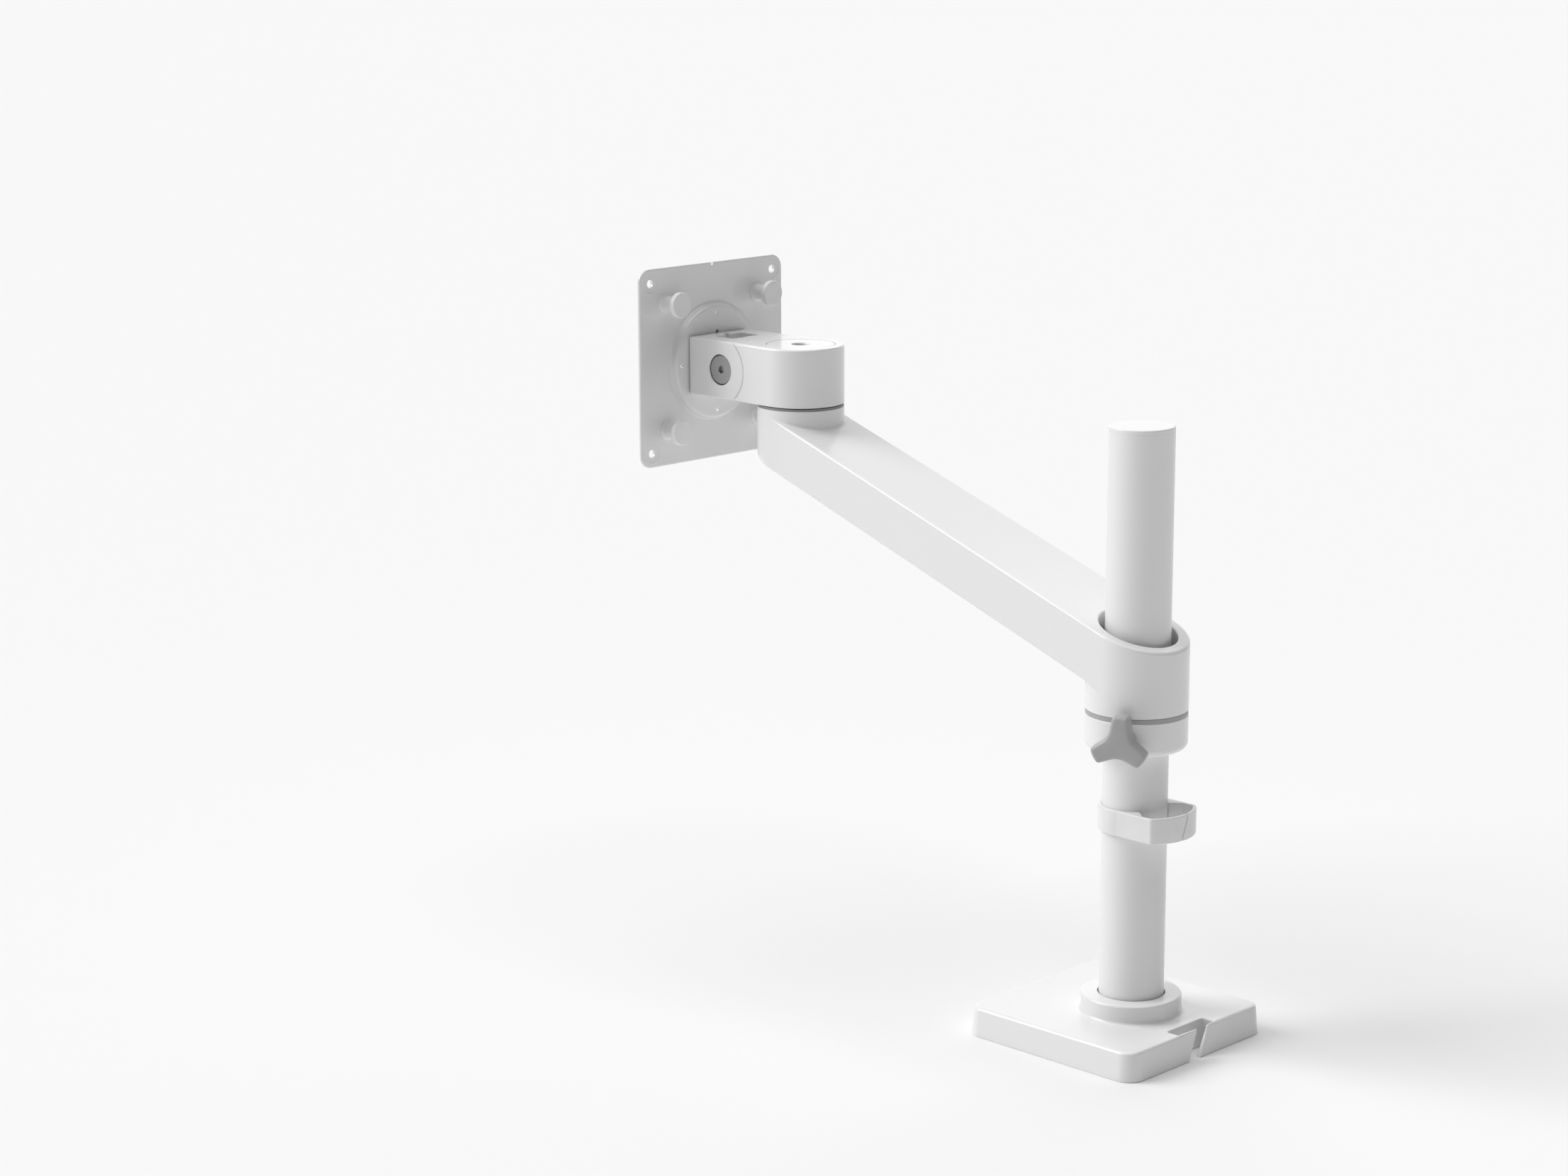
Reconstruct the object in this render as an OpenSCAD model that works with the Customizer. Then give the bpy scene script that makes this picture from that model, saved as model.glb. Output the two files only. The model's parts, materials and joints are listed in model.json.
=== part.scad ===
// Monitor arm for one screen. A square base carries a round pole, a collar clamped
// on the pole holds up a swivelling arm, and a head at the arm's end pans, tilts and
// turns the plate that the screen screws to.
// Millimetres. +Z is up and -Y is towards the person at the desk. The origin is on the
// pole's axis, at the desk surface.

/* [Base] */
// Width of the base, left to right
base_w = 115.5; // [100:0.5:150]
// Depth of the base, front to back
base_d = 115.5; // [100:0.5:150]
// Height of the base's top face above the desk
base_t = 16; // [15:0.5:22]
// Distance from the pole's axis to the base's back edge
base_back = 47; // [45:0.5:60]
// Radius of the base's upright corners at the desk
base_corner = 10; // [8:0.5:14]
// Thickness of the base's side walls
base_wall = 4; // [3:0.5:6]
// Thickness of the base's top wall
base_top_wall = 4.5; // [3.5:0.5:6]
// Outside diameter of the raised boss round the pole
boss_d = 54.3; // [50:0.1:64]
// Height of the boss above the base's top face
boss_h = 10.5; // [6:0.5:20]
// Thickness of the steel plate inside the base
plate_base_t = 5; // [4.6:0.1:6]
// Thickness of the pad under the base
pad_t = 2; // [1:0.5:3]
// Spacing of the four desk fixing holes
desk_pitch = 50; // [48:1:52]
// Length of the cable window, left to right
window_w = 30; // [20:1:40]
// Width of the cable window, front to back
window_d = 8; // [6:0.5:10]
// Width of the slanted cable slit
slit_w = 9; // [6:0.5:12]

/* [Pole] */
// Outside diameter of the pole
pole_d = 35; // [30:0.5:40]
// Wall of the pole's tube
pole_wall = 2; // [1.5:0.1:3]
// Height of the pole's top above the desk
pole_top = 334.5; // [300:0.5:450]

/* [Cable clip] */
// Height of the clip's underside above the desk
clip_z = 117.3; // [60:0.1:140]
// Height of the clip's band
clip_h = 14; // [8:0.5:20]
// Wall of the clip's band
clip_wall = 2.1; // [1.6:0.1:3]
// Depth of the clip's cable loop behind the pole
clip_loop = 14.4; // [8:0.1:20]

/* [Collar] */
// Height of the collar's underside above the desk
collar_z = 162.4; // [145:0.1:200]
// Height of the collar
collar_h = 18.7; // [17:0.1:24]
// Outside diameter of the collar and of the arm's hub
hub_d = 54.8; // [52:0.1:64]
// Thickness of the thrust washer between collar and hub
thrust_t = 2.4; // [1.5:0.1:4]
// Direction that the clamp knob points, anticlockwise from +X
knob_az = 25.3; // [-60:0.1:60]
// Reach of the knob's lobes from its axis
knob_r = 15.4; // [12:0.1:18]

/* [Arm] */
// Level distance from the pole's axis to the head's axis
arm_len = 269.2; // [200:0.1:400]
// Turn of the arm away from straight ahead
arm_yaw = 4.6; // [-45:0.1:45]
// Climb of the arm
arm_pitch = 16.94; // [10:0.01:22]
// Upright thickness of the arm's body
arm_t = 31.4; // [26:0.1:36]
// Height from the hub's underside to the arm's top face, on the pole's axis
hub_top = 43.2; // [40:0.1:60]
// Wall of the arm's hollow body
arm_wall = 3; // [2.5:0.1:5]

/* [Head] */
// Outside diameter of the head and of the arm's end
head_d = 50.6; // [48:0.1:56]
// Height of the head
head_h = 33.9; // [30:0.1:40]
// Distance from the head's pan axis to its tilt axis
tilt_offset = 42.5; // [40:0.1:60]
// Width of the tilt bracket
bracket_w = 47.4; // [44:0.1:49]
// Distance from the tilt axis to the face that the plate turns on
plate_offset = 25.6; // [25:0.1:32]

/* [Screen plate] */
// Side of the square plate
vesa_w = 117; // [112:0.5:130]
// Thickness of the plate's sheet
vesa_t = 2.5; // [2:0.1:3.5]
// Spacing of the outer hole pattern
vesa_outer = 100; // [100:100:100]
// Spacing of the inner hole pattern, which holds the thumb screws
vesa_inner = 75; // [75:75:75]
// Diameter of the raised round panel
dish_d = 70.4; // [68:0.1:80]
// Height of the raised round panel
dish_h = 4; // [3.8:0.1:6]

/* [Hidden] */
$fn = 96;
cut = 1;
run_gap = 0.05;
face_gap = 0.1;
free_gap = 0.3;

pole_r = pole_d / 2;
pole_bore_r = pole_r - pole_wall;
bearing_r = pole_r + run_gap;
cap_t = 2.5;

base_front = base_back - base_d;
base_mid_y = base_back - base_d / 2;
base_taper = 1.4;
base_ease = 1;
window_lip = 2.5;
window_y1 = base_back - window_lip;
window_y0 = window_y1 - window_d;
slit_lean = 8;
pocket_x = base_w / 2 - base_wall;
pocket_y0 = base_front + base_wall;
pocket_y1 = window_y0 - base_wall;
pocket_h = base_t - base_top_wall;
plate_z0 = pad_t;
plate_z1 = pad_t + plate_base_t;
seat_r = pole_r + run_gap;
throat_r = pole_r + 0.6;
seat_h = 5;
sleeve_r = pole_r + 4;
screw_r = 2.5;
screw_head_r = 4.8;
screw_top = base_t - 2;
post_r = 5.5;
screw_x = pocket_x - 9;
screw_y0 = pocket_y0 + 9;
screw_y1 = pocket_y1 - 7.5;
desk_r = 2.5;
pole_bolt_r = 4;
pole_bolt_head_r = 8;
plug_h = 26;

clip_outer_r = pole_r + run_gap + clip_wall;
clip_side_x = clip_outer_r - 0.35;
clip_arc_inner = pole_r + clip_loop - 6.6;
clip_arc_y = 6.6;
clip_gap_az = 48;
clip_slit_w = 1.1;
clip_slit_lean = 5.4;

hub_r = hub_d / 2;
collar_ease = 4;
collar_z1 = collar_z + collar_h;
hub_z = collar_z1 + thrust_t + face_gap;
hub_bore_r = pole_r + 3.4;
bushing_h = 12;
bushing_gap = 3;

knob_z = collar_z + 10.5;
clamp_hole_r = 5.5;
clamp_screw_r = 4;
insert_out = hub_r - 0.4;
insert_in = pole_r + 4.9;
shoe_in = pole_r + free_gap;
shoe_out = shoe_in + 2.5;
knob_in = hub_r + 3.1;
knob_out = knob_in + 11;
knob_hub_r = 7;
knob_lobe_r = 4.6;
knob_turn = -3;

rise = tan(arm_pitch);
top_z = hub_z + hub_top;
under_z = top_z - arm_t;
end_r = head_d / 2;
end_flank = end_r - 0.3;
hub_flank = hub_r - 0.3;
end_z = top_z + rise * arm_len + 3.8;
channel_s0 = hub_r + 9;
channel_s1 = arm_len - end_r - 5;
guide_w = 14;
guide_t = 2;
guide_places = [0.3, 0.7];

head_x = arm_len * cos(-90 - arm_yaw);
head_y = arm_len * sin(-90 - arm_yaw);
pan_washer_t = 1.5;
head_z = end_z + pan_washer_t + 0.3;
head_z1 = head_z + head_h;
tilt_z = head_z + head_h / 2;
pan_bolt_r = 6;
pan_bore_r = 8.5;
cap_r = 20.2;
cap_seat = 3;
pan_head_r = 8;
pan_head_t = 4.6;
pan_pocket_r = 11;
pan_floor = head_z1 - cap_seat - 7.2;
spring_t = 1.5;

tongue_w = 20.4;
tongue_r = head_h / 2;
ear_in = 11.3;
ear_r = 19.3;
pocket_r = ear_r + 0.7;
web_in = tongue_r + 0.5;
tilt_bolt_r = 5;
tilt_bore_r = 7;
tilt_disc_r = 8.4;
tilt_disc_t = 3;
ear_bore_r = 9.1;
ear_seat = 3.6;

stud_r = 6;
plate_bore_r = 8;
friction_t = 0.7;
dish_face = plate_offset + friction_t + face_gap;
sheet_back = dish_face + dish_h;
sheet_front = sheet_back + vesa_t;
dish_in = dish_face + vesa_t;
flange_t = 1.8;
flange_r = 22;
liner_t = 0.8;
nut_seat = 4;
nut_r = 9.2;
nut_t = 3.5;
vesa_corner = 8;
vesa_hole_r = 2.4;
thumb_reach = 14;
thumb_head_r = 7.5;
thumb_head_t = 3.6;
thumb_neck_r = 4.5;
thumb_stud_r = 2;
thumb_shank_r = thumb_stud_r + 0.2;
thumb_stud_out = 8;
marker_r = 29;

// Places the children at the four corners of a square or rectangle
module at_corners(x, y) {
    for (sx = [-1, 1], sy = [-1, 1]) translate([sx * x, sy * y, 0]) children();
}

// Rectangle with round corners
module rounded_rect(w, h, r) {
    square([w, h - 2 * r], center = true);
    square([w - 2 * r, h], center = true);
    at_corners(w / 2 - r, h / 2 - r) circle(r);
}

// Ring or washer standing on z = 0
module ring(r_out, r_in, h) {
    difference() {
        cylinder(r = r_out, h = h);
        translate([0, 0, -cut]) cylinder(r = r_in, h = h + 2 * cut);
    }
}

// Hexagonal recess for a key, cut upwards from z = 0
module key_recess(across, depth) {
    cylinder(d = across / cos(30), h = depth, $fn = 6);
}

// Countersunk screw, head face at z = 0 and shank upwards
module countersunk_screw(r, head_r, length, key) {
    difference() {
        union() {
            cylinder(r1 = head_r, r2 = r, h = head_r - r);
            cylinder(r = r, h = length);
        }
        translate([0, 0, -cut]) key_recess(key, cut + (head_r - r) * 0.8);
    }
}

// Places of the four screws that hold the steel plate up into the base
module at_base_screws() {
    for (x = [-screw_x, screw_x], y = [screw_y0, screw_y1]) translate([x, y, 0]) children();
}

// Tapered block with round upright corners and an eased top edge
module base_block() {
    hull() translate([0, base_mid_y, 0]) at_corners(base_w / 2 - base_corner, base_d / 2 - base_corner) {
        cylinder(r1 = base_corner, r2 = base_corner - base_taper, h = base_t - base_ease, $fn = 32);
        cylinder(r = base_corner - base_taper - base_ease, h = base_t, $fn = 32);
    }
}

module base_casting() {
    slit_y0 = window_y1 - cut;
    slit_run = window_lip + 2 * cut;
    color("white") difference() {
        union() {
            difference() {
                base_block();
                translate([-pocket_x, pocket_y0, -cut])
                    cube([2 * pocket_x, pocket_y1 - pocket_y0, pocket_h + cut]);
            }
            translate([0, 0, plate_z1]) cylinder(r = sleeve_r, h = base_t - plate_z1);
            translate([0, 0, base_t - cut]) rotate_extrude()
                polygon([[0, 0], [boss_d / 2, 0], [boss_d / 2, boss_h + cut - 1.2],
                    [boss_d / 2 - 1.2, boss_h + cut], [0, boss_h + cut]]);
            at_base_screws() translate([0, 0, plate_z1]) cylinder(r = post_r, h = pocket_h - plate_z1 + cut);
        }
        translate([0, 0, -cut]) cylinder(r = seat_r, h = base_t + boss_h + 2 * cut);
        translate([0, 0, plate_z1 + seat_h]) cylinder(r = throat_r, h = base_t + boss_h);
        at_base_screws() translate([0, 0, -cut]) cylinder(r = screw_r, h = screw_top + cut);
        translate([-window_w / 2, window_y0, -cut]) cube([window_w, window_d, base_t + 2 * cut]);
        translate([0, slit_y0 + slit_run, 0]) rotate([90, 0, 0]) linear_extrude(slit_run)
            polygon([[slit_lean / 2 - slit_w / 2, 0], [slit_lean / 2 + slit_w / 2, 0],
                [slit_w / 2 - slit_lean / 2, base_t], [-slit_w / 2 - slit_lean / 2, base_t]]);
    }
}

module base_plate() {
    color("silver") difference() {
        translate([-pocket_x + free_gap, pocket_y0 + free_gap, plate_z0])
            cube([2 * (pocket_x - free_gap), pocket_y1 - pocket_y0 - 2 * free_gap, plate_base_t]);
        translate([0, 0, plate_z0]) {
            cylinder(r1 = pole_bolt_head_r, r2 = pole_bolt_r, h = pole_bolt_head_r - pole_bolt_r);
            cylinder(r = pole_bolt_r, h = plate_base_t + cut);
            at_base_screws() cylinder(r1 = screw_head_r, r2 = screw_r, h = screw_head_r - screw_r);
            at_base_screws() cylinder(r = screw_r, h = plate_base_t + cut);
            translate([0, 0, -cut]) at_corners(desk_pitch / 2, desk_pitch / 2)
                cylinder(r = desk_r, h = plate_base_t + 2 * cut);
        }
    }
}

module base_pad() {
    color("dimgray") difference() {
        translate([-pocket_x + free_gap, pocket_y0 + free_gap, 0])
            cube([2 * (pocket_x - free_gap), pocket_y1 - pocket_y0 - 2 * free_gap, pad_t]);
        translate([0, 0, -cut]) at_corners(desk_pitch / 2, desk_pitch / 2)
            cylinder(r = desk_r + 2, h = pad_t + 2 * cut);
    }
}

module base_screws() {
    color("silver") at_base_screws() translate([0, 0, plate_z0])
        countersunk_screw(screw_r, screw_head_r, screw_top - plate_z0, 3);
}

module pole() {
    color("white") translate([0, 0, plate_z1]) ring(pole_r, pole_bore_r, pole_top - cap_t - plate_z1);
}

module pole_plug() {
    color("silver") translate([0, 0, plate_z1]) ring(pole_bore_r, pole_bolt_r, plug_h);
}

module pole_bolt() {
    color("silver") translate([0, 0, plate_z0])
        countersunk_screw(pole_bolt_r, pole_bolt_head_r, plate_base_t + plug_h, 5);
}

module pole_end_cap() {
    color("white") translate([0, 0, pole_top - cap_t]) {
        rotate_extrude() polygon([[0, 0], [pole_r, 0], [pole_r, cap_t - 0.6], [pole_r - 0.6, cap_t], [0, cap_t]]);
        translate([0, 0, -10]) ring(pole_bore_r, pole_bore_r - 2, 10);
    }
}

// Outline of the clip's band, grown or shrunk all round
module clip_outline(grow) {
    intersection() {
        translate([-clip_side_x - grow, 0]) square([2 * (clip_side_x + grow), 60]);
        translate([0, clip_arc_y]) circle(clip_arc_inner + clip_wall + grow);
    }
}

module cable_clip() {
    loop_az = [for (a = [clip_gap_az, 180 - clip_gap_az]) 60 * [cos(a), sin(a)]];
    color("white") translate([0, 0, clip_z]) difference() {
        linear_extrude(clip_h) difference() {
            union() {
                circle(clip_outer_r);
                clip_outline(0);
            }
            circle(bearing_r);
            intersection() {
                clip_outline(-clip_wall);
                polygon([[0, 0], loop_az[0], loop_az[1]]);
            }
        }
        translate([0, clip_arc_y + clip_arc_inner, clip_h / 2])
            rotate([0, -atan(clip_slit_lean / clip_h), 0])
            cube([clip_slit_w, 4 * clip_wall, 2 * clip_h], center = true);
    }
}

// Places the children along the clamp screw: their z is the distance from the pole's axis
module along_clamp() {
    rotate([0, 0, knob_az]) translate([0, 0, knob_z]) rotate([0, 90, 0]) rotate([0, 0, 90]) children();
}

module collar() {
    color("white") difference() {
        translate([0, 0, collar_z]) rotate_extrude() difference() {
            union() {
                translate([0, collar_ease]) square([hub_r, collar_h - collar_ease]);
                square([hub_r - collar_ease, collar_h]);
                translate([hub_r - collar_ease, collar_ease]) circle(collar_ease);
            }
            translate([0, -cut]) square([bearing_r, collar_h + 2 * cut]);
        }
        along_clamp() cylinder(r = clamp_hole_r, h = hub_r + cut);
    }
}

module thrust_washer() {
    color("gray") translate([0, 0, collar_z1]) ring(hub_r - 0.2, pole_r + free_gap, thrust_t);
}

module thread_insert() {
    color("gold") along_clamp() translate([0, 0, insert_in])
        ring(clamp_hole_r, clamp_screw_r + run_gap, insert_out - insert_in);
}

module pressure_shoe() {
    color("gold") difference() {
        along_clamp() translate([0, 0, shoe_in - 2]) cylinder(r = clamp_hole_r - run_gap, h = shoe_out - shoe_in + 2);
        cylinder(r = shoe_in, h = pole_top);
    }
}

module clamp_screw() {
    color("silver") along_clamp() translate([0, 0, shoe_out + face_gap])
        cylinder(r = clamp_screw_r, h = knob_in + 7 - shoe_out - face_gap);
}

// Outline of the three-lobed knob
module knob_outline() {
    offset(r = -5) offset(r = 5) {
        circle(knob_hub_r, $fn = 48);
        for (a = [90, 210, 330]) rotate(a + knob_turn) {
            translate([0, -knob_lobe_r]) square([knob_r - knob_lobe_r, 2 * knob_lobe_r]);
            translate([knob_r - knob_lobe_r, 0]) circle(knob_lobe_r, $fn = 32);
        }
    }
}

module clamp_knob() {
    color("gray") along_clamp() difference() {
        union() {
            translate([0, 0, knob_in + 2]) linear_extrude(knob_out - knob_in - 2) knob_outline();
            translate([0, 0, knob_in]) cylinder(r = knob_hub_r - 0.4, h = 4);
        }
        translate([0, 0, knob_in - cut]) cylinder(r = clamp_screw_r, h = 7 + cut);
    }
}

// Turns the children so that +X runs along the arm
module along_arm() {
    rotate([0, 0, -90 - arm_yaw]) children();
}

// Extrudes a side view, drawn as [distance along the arm, height], to a width
module side_view(width, points) {
    translate([0, width / 2, 0]) rotate([90, 0, 0]) linear_extrude(width) polygon(points);
}

// Height of the arm's top and under faces at a distance along the arm
function top_at(s) = top_z + rise * s;
function under_at(s) = under_z + rise * s;

// Plan of the arm: hub, tapering body and round end
module arm_plan() {
    circle(hub_r);
    polygon([[0, -hub_flank], [arm_len, -end_flank], [arm_len, end_flank], [0, hub_flank]]);
    translate([arm_len, 0]) circle(end_r);
}

module arm_casting() {
    far = arm_len + end_r + 10;
    near = -hub_r - 10;
    crest = (end_z - top_z) / rise;
    color("white") along_arm() difference() {
        union() {
            intersection() {
                linear_extrude(end_z) arm_plan();
                side_view(3 * hub_r, [[near, top_at(near)], [near, under_at(near)], [far, under_at(far)],
                    [far, end_z + cut], [crest + cut / rise, end_z + cut]]);
            }
            intersection() {
                translate([0, 0, hub_z]) cylinder(r = hub_r, h = 2 * hub_top);
                side_view(3 * hub_r, [[near, top_at(near)], [near, 0], [-near, 0], [-near, top_at(-near)]]);
            }
            translate([arm_len, 0, under_at(arm_len) + arm_t / 2])
                cylinder(r = end_r, h = end_z - under_at(arm_len) - arm_t / 2);
        }
        cylinder(r = hub_bore_r, h = end_z);
        translate([arm_len, 0, under_at(arm_len) + 6]) cylinder(r = pan_bolt_r, h = end_z);
        side_view(2 * (end_flank - arm_wall), [[channel_s0, under_at(channel_s0) - cut],
            [channel_s1, under_at(channel_s1) - cut],
            [channel_s1, top_at(channel_s1) - arm_wall / cos(arm_pitch)],
            [channel_s0, top_at(channel_s0) - arm_wall / cos(arm_pitch)]]);
    }
}

module lower_bushing() {
    color("dimgray") translate([0, 0, hub_z]) ring(hub_bore_r, bearing_r, bushing_h);
}

module upper_bushing() {
    color("dimgray") translate([0, 0, hub_z + bushing_h + bushing_gap]) ring(hub_bore_r, bearing_r, bushing_h);
}

// Straps that close the channel under the arm round its cables
module arm_cable_guides() {
    width = 2 * (end_flank - arm_wall);
    color("dimgray") along_arm() for (t = guide_places) {
        s = channel_s0 + t * (channel_s1 - channel_s0);
        translate([s, 0, under_at(s)]) rotate([0, -arm_pitch, 0])
            translate([-guide_w / 2, -width / 2, 1]) cube([guide_w, width, guide_t]);
    }
}

// Places the children on the head's pan axis
module at_head() {
    translate([head_x, head_y, 0]) children();
}

// Places the children on the tilt axis: their z runs along the axis, left to right
module at_tilt() {
    at_head() translate([0, -tilt_offset, tilt_z]) rotate([0, 90, 0]) children();
}

// Places the children on the axis that the plate turns on: their z is the distance
// from the tilt axis towards the screen, and their y is up
module at_plate() {
    at_head() translate([0, -tilt_offset, tilt_z]) rotate([90, 0, 0]) children();
}

module pan_bolt() {
    foot = under_at(arm_len) + 8;
    color("silver") at_head() difference() {
        union() {
            translate([0, 0, foot]) cylinder(r = pan_bolt_r, h = pan_floor + spring_t + 1 - foot);
            translate([0, 0, pan_floor + spring_t + face_gap]) cylinder(r = pan_head_r, h = pan_head_t);
        }
        translate([0, 0, pan_floor + spring_t + pan_head_t - 2.5]) key_recess(5, 4);
    }
}

module pan_washer() {
    color("gray") at_head() translate([0, 0, end_z]) ring(end_r - 0.4, pan_bolt_r + free_gap, pan_washer_t);
}

module head_casting() {
    color("white") difference() {
        union() {
            difference() {
                at_head() translate([0, 0, head_z]) linear_extrude(head_h) {
                    circle(end_r);
                    polygon([[end_flank, 0], [-end_flank, 0], [-bracket_w / 2, 11 - tilt_offset],
                        [-bracket_w / 2, 5 - tilt_offset], [bracket_w / 2, 5 - tilt_offset],
                        [bracket_w / 2, 11 - tilt_offset]]);
                }
                for (side = [-1, 1]) at_tilt() translate([0, 0, side * (tongue_w / 2 + 20) - 20])
                    cylinder(r = pocket_r, h = 40);
            }
            at_tilt() translate([0, 0, -tongue_w / 2]) cylinder(r = tongue_r, h = tongue_w);
            at_head() translate([-tongue_w / 2, -tilt_offset, head_z]) cube([tongue_w, tilt_offset - pan_bore_r, head_h]);
        }
        at_tilt() translate([0, 0, -tongue_w / 2 - cut]) cylinder(r = tilt_bore_r, h = tongue_w + 2 * cut);
        at_head() {
            translate([0, 0, head_z - cut]) cylinder(r = pan_bore_r, h = head_h);
            translate([0, 0, pan_floor]) cylinder(r = pan_pocket_r, h = head_h);
            translate([0, 0, head_z1 - cap_seat]) cylinder(r = cap_r, h = cap_seat + cut);
        }
    }
}

module pan_bushing() {
    color("dimgray") at_head() translate([0, 0, head_z]) ring(pan_bore_r, pan_bolt_r + run_gap, pan_floor - head_z);
}

module pan_spring_washer() {
    color("silver") at_head() translate([0, 0, pan_floor]) ring(pan_pocket_r - 0.5, pan_bolt_r + free_gap, spring_t);
}

module head_cap() {
    color("white") at_head() translate([0, 0, head_z1 - cap_seat])
        ring(cap_r - 0.25, 5, cap_seat);
}

module tilt_bushing() {
    color("dimgray") at_tilt() translate([0, 0, -tongue_w / 2])
        ring(tilt_bore_r, tilt_bolt_r + run_gap, tongue_w);
}

module tilt_bracket() {
    ear_t = bracket_w / 2 - ear_in;
    color("white") difference() {
        union() {
            for (z = [ear_in, -bracket_w / 2]) at_tilt() translate([0, 0, z])
                intersection() {
                    cylinder(r = ear_r, h = ear_t);
                    translate([-head_h / 2, -ear_r - cut, -cut]) cube([head_h, 2 * (ear_r + cut), ear_t + 2 * cut]);
                }
            for (x = [ear_in, -bracket_w / 2]) at_plate() translate([x, -head_h / 2, 0])
                cube([ear_t, head_h, plate_offset]);
            at_plate() translate([-bracket_w / 2, -head_h / 2, web_in]) cube([bracket_w, head_h, plate_offset - web_in]);
        }
        at_tilt() translate([0, 0, -bracket_w]) cylinder(r = tilt_bolt_r, h = 2 * bracket_w);
        for (side = [-1, 1]) at_tilt() translate([0, 0, side * (bracket_w / 2 - ear_seat + 10) - 10])
            cylinder(r = ear_bore_r, h = 20);
        at_plate() {
            cylinder(r = stud_r, h = plate_offset + cut);
            translate([0, 0, web_in - cut]) cylinder(r = nut_r + 0.3, h = nut_seat + cut);
            translate([-1.7, head_h / 2 - 8, web_in - cut]) cube([3.4, 8 + cut, 3 + cut]);
        }
    }
}

module tilt_bolt() {
    seat = bracket_w / 2 - ear_seat;
    color("silver") at_tilt() difference() {
        union() {
            translate([0, 0, -seat + 0.5]) cylinder(r = tilt_bolt_r, h = 2 * seat);
            translate([0, 0, seat]) cylinder(r = tilt_disc_r, h = tilt_disc_t);
        }
        translate([0, 0, seat + tilt_disc_t - 2]) key_recess(4, 4);
    }
}

module tilt_nut() {
    seat = bracket_w / 2 - ear_seat;
    color("silver") at_tilt() translate([0, 0, -seat - tilt_disc_t]) difference() {
        cylinder(r = tilt_disc_r, h = tilt_disc_t);
        translate([0, 0, -cut]) key_recess(4, 2 + cut);
    }
}

module tilt_washers() {
    t = ear_in - tongue_w / 2 - face_gap;
    color("gray") for (z = [ear_in - t, -ear_in]) at_tilt() translate([0, 0, z])
        ring(14, tilt_bolt_r, t);
}

module rotation_stud() {
    foot = web_in + 0.6;
    head = dish_in + liner_t + face_gap;
    color("silver") at_plate() {
        translate([0, 0, foot]) cylinder(r = stud_r, h = head - foot + 0.5);
        translate([0, 0, head]) cylinder(r = flange_r, h = flange_t);
    }
}

module rotation_nut() {
    color("silver") at_plate() translate([0, 0, web_in + nut_seat - nut_t]) difference() {
        cylinder(r = nut_r, h = nut_t, $fn = 6);
        translate([0, 0, -cut]) cylinder(r = stud_r, h = nut_t + 2 * cut);
    }
}

module vesa_plate() {
    color("white") at_plate() difference() {
        union() {
            translate([0, 0, sheet_back]) linear_extrude(vesa_t) rounded_rect(vesa_w, vesa_w, vesa_corner);
            translate([0, 0, dish_face]) rotate_extrude()
                polygon([[0, 0], [dish_d / 2 - 2, 0], [dish_d / 2, 1.2], [dish_d / 2, dish_h + cut], [0, dish_h + cut]]);
        }
        translate([0, 0, dish_in]) cylinder(r = dish_d / 2 - vesa_t - 1.5, h = sheet_front);
        translate([0, 0, dish_face - cut]) cylinder(r = plate_bore_r, h = sheet_front);
        translate([0, 0, sheet_back - cut]) {
            at_corners(vesa_outer / 2, vesa_outer / 2) cylinder(r = vesa_hole_r, h = vesa_t + 2 * cut);
            at_corners(vesa_inner / 2, vesa_inner / 2) cylinder(r = vesa_hole_r, h = vesa_t + 2 * cut);
        }
        translate([0, 0, dish_face - cut]) {
            for (a = [0:90:270]) rotate(a) translate([marker_r, 0, 0]) cylinder(r = 1.3, h = sheet_front);
            translate([0, head_h / 2 + 0.7, 0]) cylinder(r = 1.3, h = sheet_front);
        }
        translate([0, vesa_w / 2, sheet_back - cut]) cylinder(r = 1.2, h = vesa_t + 2 * cut, $fn = 4);
    }
}

module plate_bushing() {
    color("dimgray") at_plate() translate([0, 0, dish_face]) ring(plate_bore_r, stud_r + run_gap, vesa_t);
}

module friction_disc() {
    color("gray") at_plate() translate([0, 0, dish_face - friction_t]) ring(15.5, stud_r + free_gap, friction_t);
}

module friction_liner() {
    color("gray") at_plate() translate([0, 0, dish_in]) ring(24, plate_bore_r, liner_t);
}

module thumb_screws() {
    color("white") at_plate() at_corners(vesa_inner / 2, vesa_inner / 2) translate([0, 0, sheet_back]) {
        translate([0, 0, -thumb_reach]) cylinder(r = thumb_head_r, h = thumb_head_t);
        translate([0, 0, -thumb_reach + 1]) cylinder(r = thumb_neck_r, h = thumb_reach - 1);
        translate([0, 0, -1]) cylinder(r = thumb_shank_r, h = vesa_t + 1);
        translate([0, 0, vesa_t - 0.5]) cylinder(r = thumb_stud_r, h = thumb_stud_out + 0.5);
    }
}

base_casting();
base_plate();
base_pad();
base_screws();
pole();
pole_plug();
pole_bolt();
pole_end_cap();
cable_clip();
collar();
thrust_washer();
thread_insert();
pressure_shoe();
clamp_screw();
clamp_knob();
arm_casting();
lower_bushing();
upper_bushing();
arm_cable_guides();
pan_bolt();
pan_washer();
head_casting();
pan_bushing();
pan_spring_washer();
head_cap();
tilt_bushing();
tilt_bracket();
tilt_bolt();
tilt_nut();
tilt_washers();
rotation_stud();
rotation_nut();
vesa_plate();
plate_bushing();
friction_disc();
friction_liner();
thumb_screws();
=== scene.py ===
"""Visual model of a white monitor arm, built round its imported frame.

Every size is in millimetres inside the classes and in metres in the scene. Each
sub-assembly is a class: its dataclass fields are its sizes, and its build method makes
its pieces, dresses them and lets them ride on their body.
"""

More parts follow.
